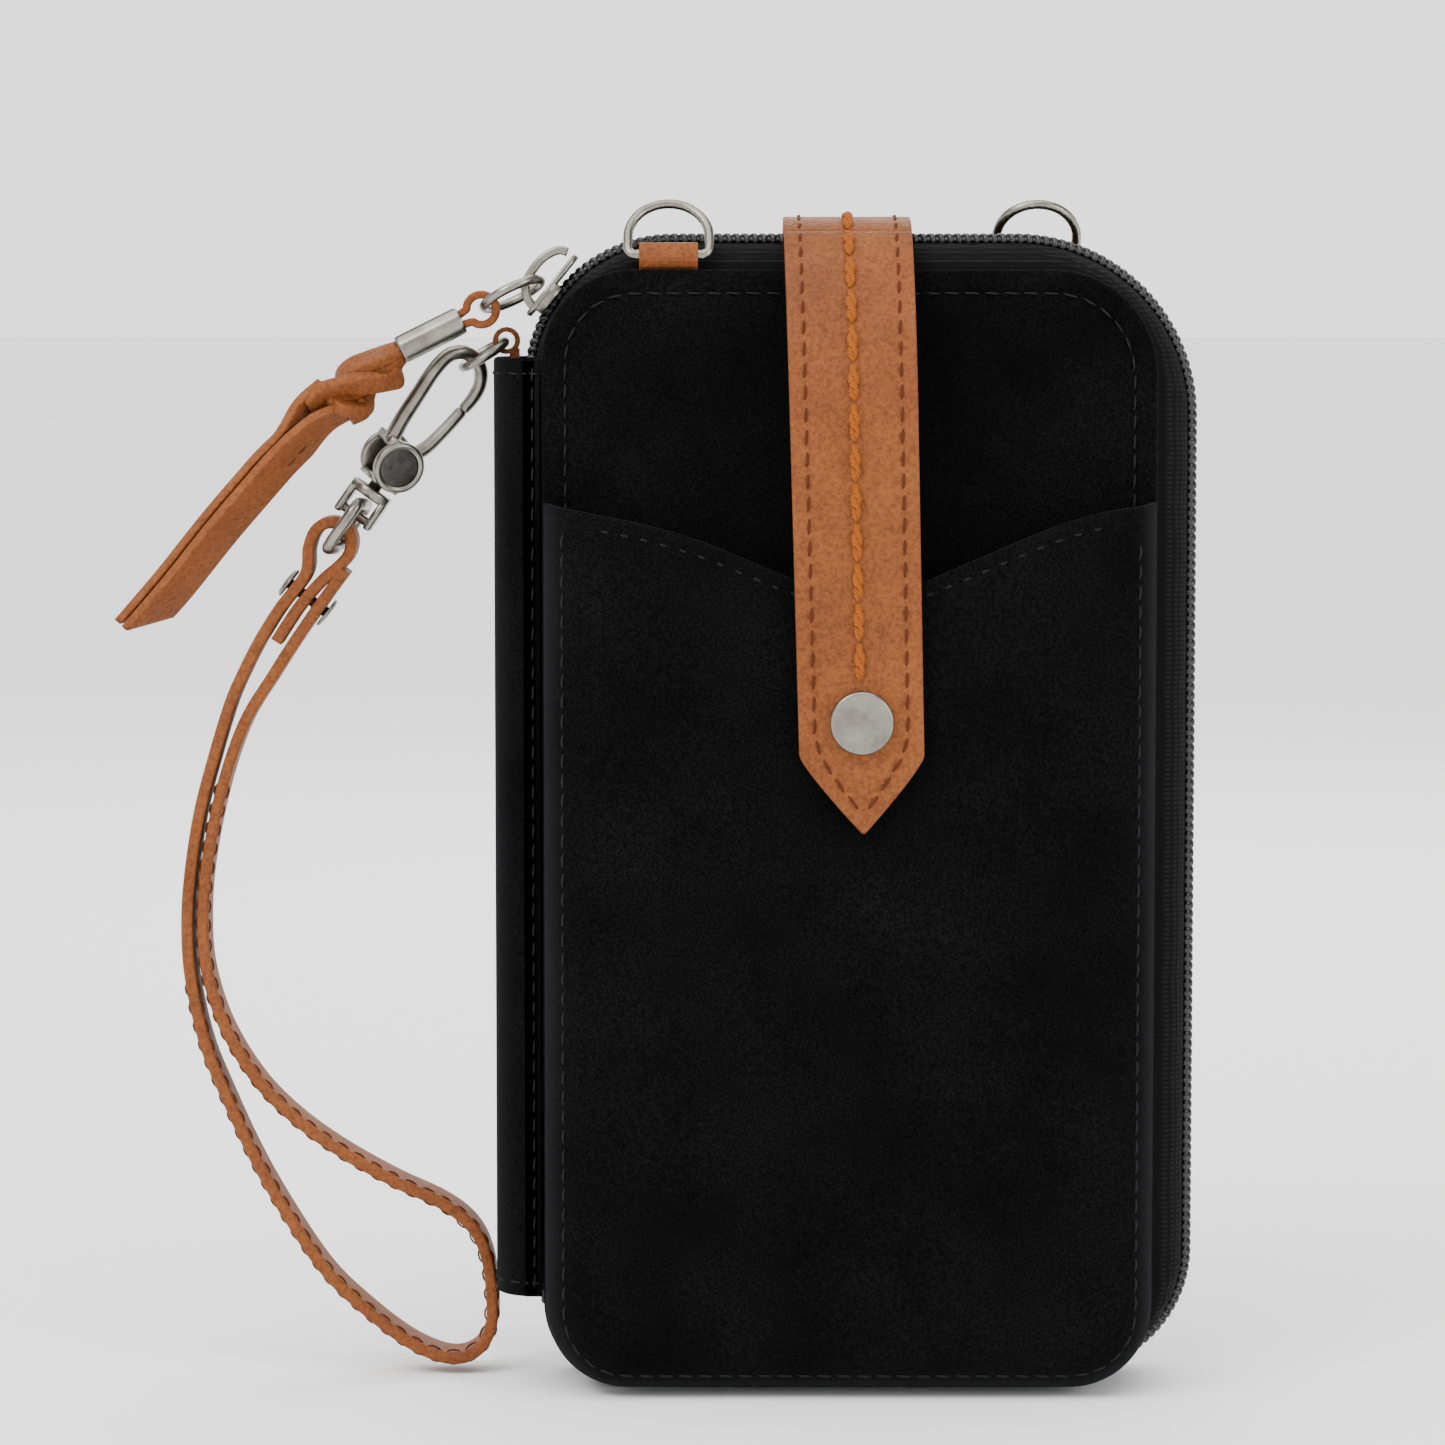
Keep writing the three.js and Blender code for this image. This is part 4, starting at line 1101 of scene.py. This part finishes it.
def clasp():
    hook = curve([V(x, 0, z) for x, z in HOOK], 90)
    swell = lambda t: 1.3 - 0.25 * t if t < 0.9 else 1.075 - 1.5 * (t - 0.9)
    whole = wire(hook, swell, 18)
    cheek = [(0, 2.15), (3.7, 2.15), (4.1, 2.35), (4.15, 3.0), (4.0, 3.45), (3.6, 3.6), (3.3, 3.5),
             (3.15, 3.35), (1.3, 3.35), (0, 3.35)]
    for side in (-1, 1):
        whole.join(lathe(cheek, ORIGIN, V(0, side, 0), 56))
    crown = plate(-3.5, -0.6, -2.9, 2.9, 2.05, 3.6, 0.3)
    foot = plate(-2.4, 2.4, -2.9, 2.9, -3.95, -2.85, 0.25)
    merge(whole, crown, foot).turned(CLASP_FRAME).piece(
        "clasp_hook_and_cheeks", NICKEL, "nickel", "clasp", ["clasp_body"])
    for side in (-1, 1):
        disc = [(0, 3.42), (1.5, 3.42), (2.8, 3.4), (3.1, 3.36), (3.1, 3.3), (0, 3.3)]
        lathe(disc, ORIGIN, V(0, side, 0), 48).turned(CLASP_FRAME).piece(
            f"cheek_face_{SIDE_NAME[side]}", DARK_NICKEL, "nickel", "clasp")
    gate = curve([V(1.2, 0, 1.2), V(3.3, 0, 4.2), V(4.3, 0, 8), V(4.95, 0, 12.3)], 50)
    arm = wire(gate, lambda t: 1.15 - 0.2 * t, 18)
    hub = lathe([(1.02, -1.1), (1.9, -1.1), (1.9, 1.1), (1.02, 1.1)], ORIGIN, Y, 36, True)
    merge(arm, hub).turned(CLASP_FRAME).piece("clasp_gate_lever", NICKEL, "nickel", "gate", ["clasp_gate"])
    for node in ("clasp_pin", "gate_spring"):
        soften(node, NICKEL, 0.08)


def swivel():
    saddle = plate(-3.2, 3.2, -1.8, 1.8, -6.7, -5.0, 0.4)
    lugs = [plate(x0, x1, -1.8, 1.8, -10.95, -6.1, 0.3) for x0, x1 in ((-3.25, -2.2), (2.2, 3.25))]
    neck = lathe([(0, -5.6), (1.05, -5.6), (1.05, -2.55), (1.8, -2.5), (1.85, -2.2), (1.6, -2.05),
                  (0, -2.05)], ORIGIN, Z, 32)
    merge(saddle, neck, *lugs).turned(SWIVEL_FRAME).piece(
        "swivel_yoke_cast", NICKEL, "nickel", "swivel", ["swivel_yoke"])
    soften("clevis_pin", NICKEL, 0.15)
    half, top, low, bend = 5.7, -7.95, -16.4, 1.8
    corners = [(half - bend, top - bend, 90), (-half + bend, top - bend, 180),
               (-half + bend, low + bend, 270), (half - bend, low + bend, 360)]
    path = []
    for y, z, end in corners:
        for k in range(9):
            a = math.radians(end - 90 + 90 * k / 8)
            path.append(V(0, y + bend * math.cos(a), z + bend * math.sin(a)))
    wire(path, 0.95, 16, True).turned(SWIVEL_FRAME).piece(
        "swivel_ring_wire", NICKEL, "nickel", "swivel_link", ["swivel_ring"])


clasp()
swivel()


# ---- wrist strap ----

SEWN = slice(60, 360)  # the part of the thong's 520 points that has two rows of stitches
WRIST_LINE = [
    (-77.3, 125.6), (-81.4, 120), (-85.4, 114.2), (-88.4, 109.5), (-93, 102), (-96.5, 92), (-99, 80),
    (-99.7, 70), (-98.9, 62), (-96, 53.5), (-91, 45.5), (-85, 39.5), (-78, 34.5), (-70, 30),
    (-62.6, 26.5), (-58.2, 23), (-55.9, 18.5), (-55, 12), (-55.3, 6.5), (-57.8, 2.9), (-62, 2.1),
    (-68, 4.6), (-75, 10), (-81, 16), (-87, 25), (-92, 34), (-96.5, 44), (-99.6, 52), (-101.7, 62),
    (-102.2, 70), (-101.7, 78), (-100.1, 88), (-97.7, 97), (-95.2, 105), (-93, 110), (-90.4, 115),
    (-87.2, 120), (-83.4, 125), (-82.9, 129), (-81.8, 131.8), (-79.8, 133), (-77.4, 132.4),
    (-76.3, 130.4), (-76.8, 127.9), (-78.7, 125.9), (-80.8, 124.1), (-84.4, 120), (-88, 114.6)]


def wrist_strap():
    """One thong: down from the rivet, round the hand's loop, up again and through the swivel ring."""
    line = curve([V(x, CLASP_Y, z) for x, z in WRIST_LINE], 520)
    strip(line, Y, 8.2, 1.8, 0.45).piece(
        "wrist_strap_thong", TAN, "tan_leather", "wrist_loop", ["wrist_strap"])
    outs = [Y.cross(w).normalized() for w in directions(line)[SEWN]]
    sewn = Build()
    for side in (-1, 1):
        row = [p + V(0, -3.1, 0) + out * side * 0.92 for p, out in zip(line[SEWN], outs)]
        near = lambda p: outs[min(range(len(row)), key=lambda i: (row[i] - p).length_squared)] * side
        sewn.join(stitches(row, near, 2.2, 0.8, 0.2))
    sewn.piece("wrist_strap_stitching", BROWN_THREAD, "accent_cord", "wrist_loop")
    lean = math.radians(51.5)
    out = V(-math.sin(lean), 0, math.cos(lean))
    at = V(-85.1, CLASP_Y, 122.6)
    top = lathe([(0, 1.25), (2.4, 1.25), (2.5, 1.4), (2.4, 1.7), (1.9, 1.95), (0.9, 2.1), (0, 2.15)],
                at, out, 36)
    below = lathe([(0, 5.85), (2.4, 5.85), (2.5, 6.0), (2.4, 6.3), (1.6, 6.5), (0, 6.55)], at, -out, 36)
    shank = lathe([(0, -5.9), (0.85, -5.9), (0.85, 1.3), (0, 1.3)], at, out, 20)
    merge(top, below, shank).piece("strap_rivet_caps", NICKEL, "nickel", "wrist_loop", ["strap_rivet"])


wrist_strap()


# ---- studio ----

def area_light(name, place, target, size, power):
    data = bpy.data.lights.new(name, "AREA")
    data.shape = "RECTANGLE"
    data.size, data.size_y = size
    data.energy = power
    obj = placed(name, data)
    obj.location = place
    obj.rotation_euler = (Vector(target) - Vector(place)).to_track_quat("-Z", "Y").to_euler()


def studio():
    """A wide pale floor under a graded sky, soft lights, and the camera; in metres."""
    middle = Vector((-0.0189, -0.008, 0.1028))
    low = min(node_box(n)[0].z for n in ("back_panel", "zipper_coil_front", "wrist_strap")) / 1000
    floor = bpy.data.meshes.new("floor")
    reach = 12
    corners = ((-reach, -reach), (reach, -reach), (reach, reach), (-reach, reach))
    floor.from_pydata([(x, y, low - 0.0005) for x, y in corners], [], [(0, 1, 2, 3)])
    ground = placed("floor", floor)
    paper = Shader("floor_paper", rough=0.9, Specular_IOR_Level=0.0)
    paper.plain((0.9, 0.9, 0.9))
    floor.materials.append(paper.material)

    area_light("key", (-0.6, -0.7, 0.85), middle, (0.5, 0.35), 7)
    area_light("fill", (0.75, -0.6, 0.45), middle, (0.35, 0.6), 4)
    area_light("back", (0.1, 0.8, 0.7), middle, (0.7, 0.4), 5)
    sun = bpy.data.lights.new("overhead", "SUN")
    sun.energy, sun.angle = 4.1, math.radians(80)
    lamp = placed("overhead", sun)
    lamp.rotation_euler = (math.radians(12), math.radians(-10), 0)
    world = bpy.data.worlds.new("pale")
    world.use_nodes = True
    tree = world.node_tree
    split = tree.nodes.new("ShaderNodeSeparateXYZ")
    tree.links.new(tree.nodes.new("ShaderNodeTexCoord").outputs["Generated"], split.inputs[0])
    sky = tree.nodes.new("ShaderNodeValToRGB")
    for element, (at, grey) in zip(sky.color_ramp.elements, ((0.22, 1.0), (0.5, 0.22))):
        element.position, element.color = at, (grey, grey, grey, 1)
    tree.links.new(split.outputs["Z"], sky.inputs["Fac"])
    tree.links.new(sky.outputs["Color"], tree.nodes["Background"].inputs["Color"])
    tree.nodes["Background"].inputs["Strength"].default_value = 2.0
    bpy.context.scene.world = world

    camera = bpy.data.cameras.new("camera")
    camera.lens = 130
    camera.sensor_width = 36
    rig = placed("camera", camera)
    height, away = math.radians(5), 0.8
    place = middle + Vector((0, -math.cos(height), math.sin(height))) * away
    rig.location = place
    rig.rotation_euler = (middle - place).to_track_quat("-Z", "Y").to_euler()
    bpy.context.scene.camera = rig


studio()
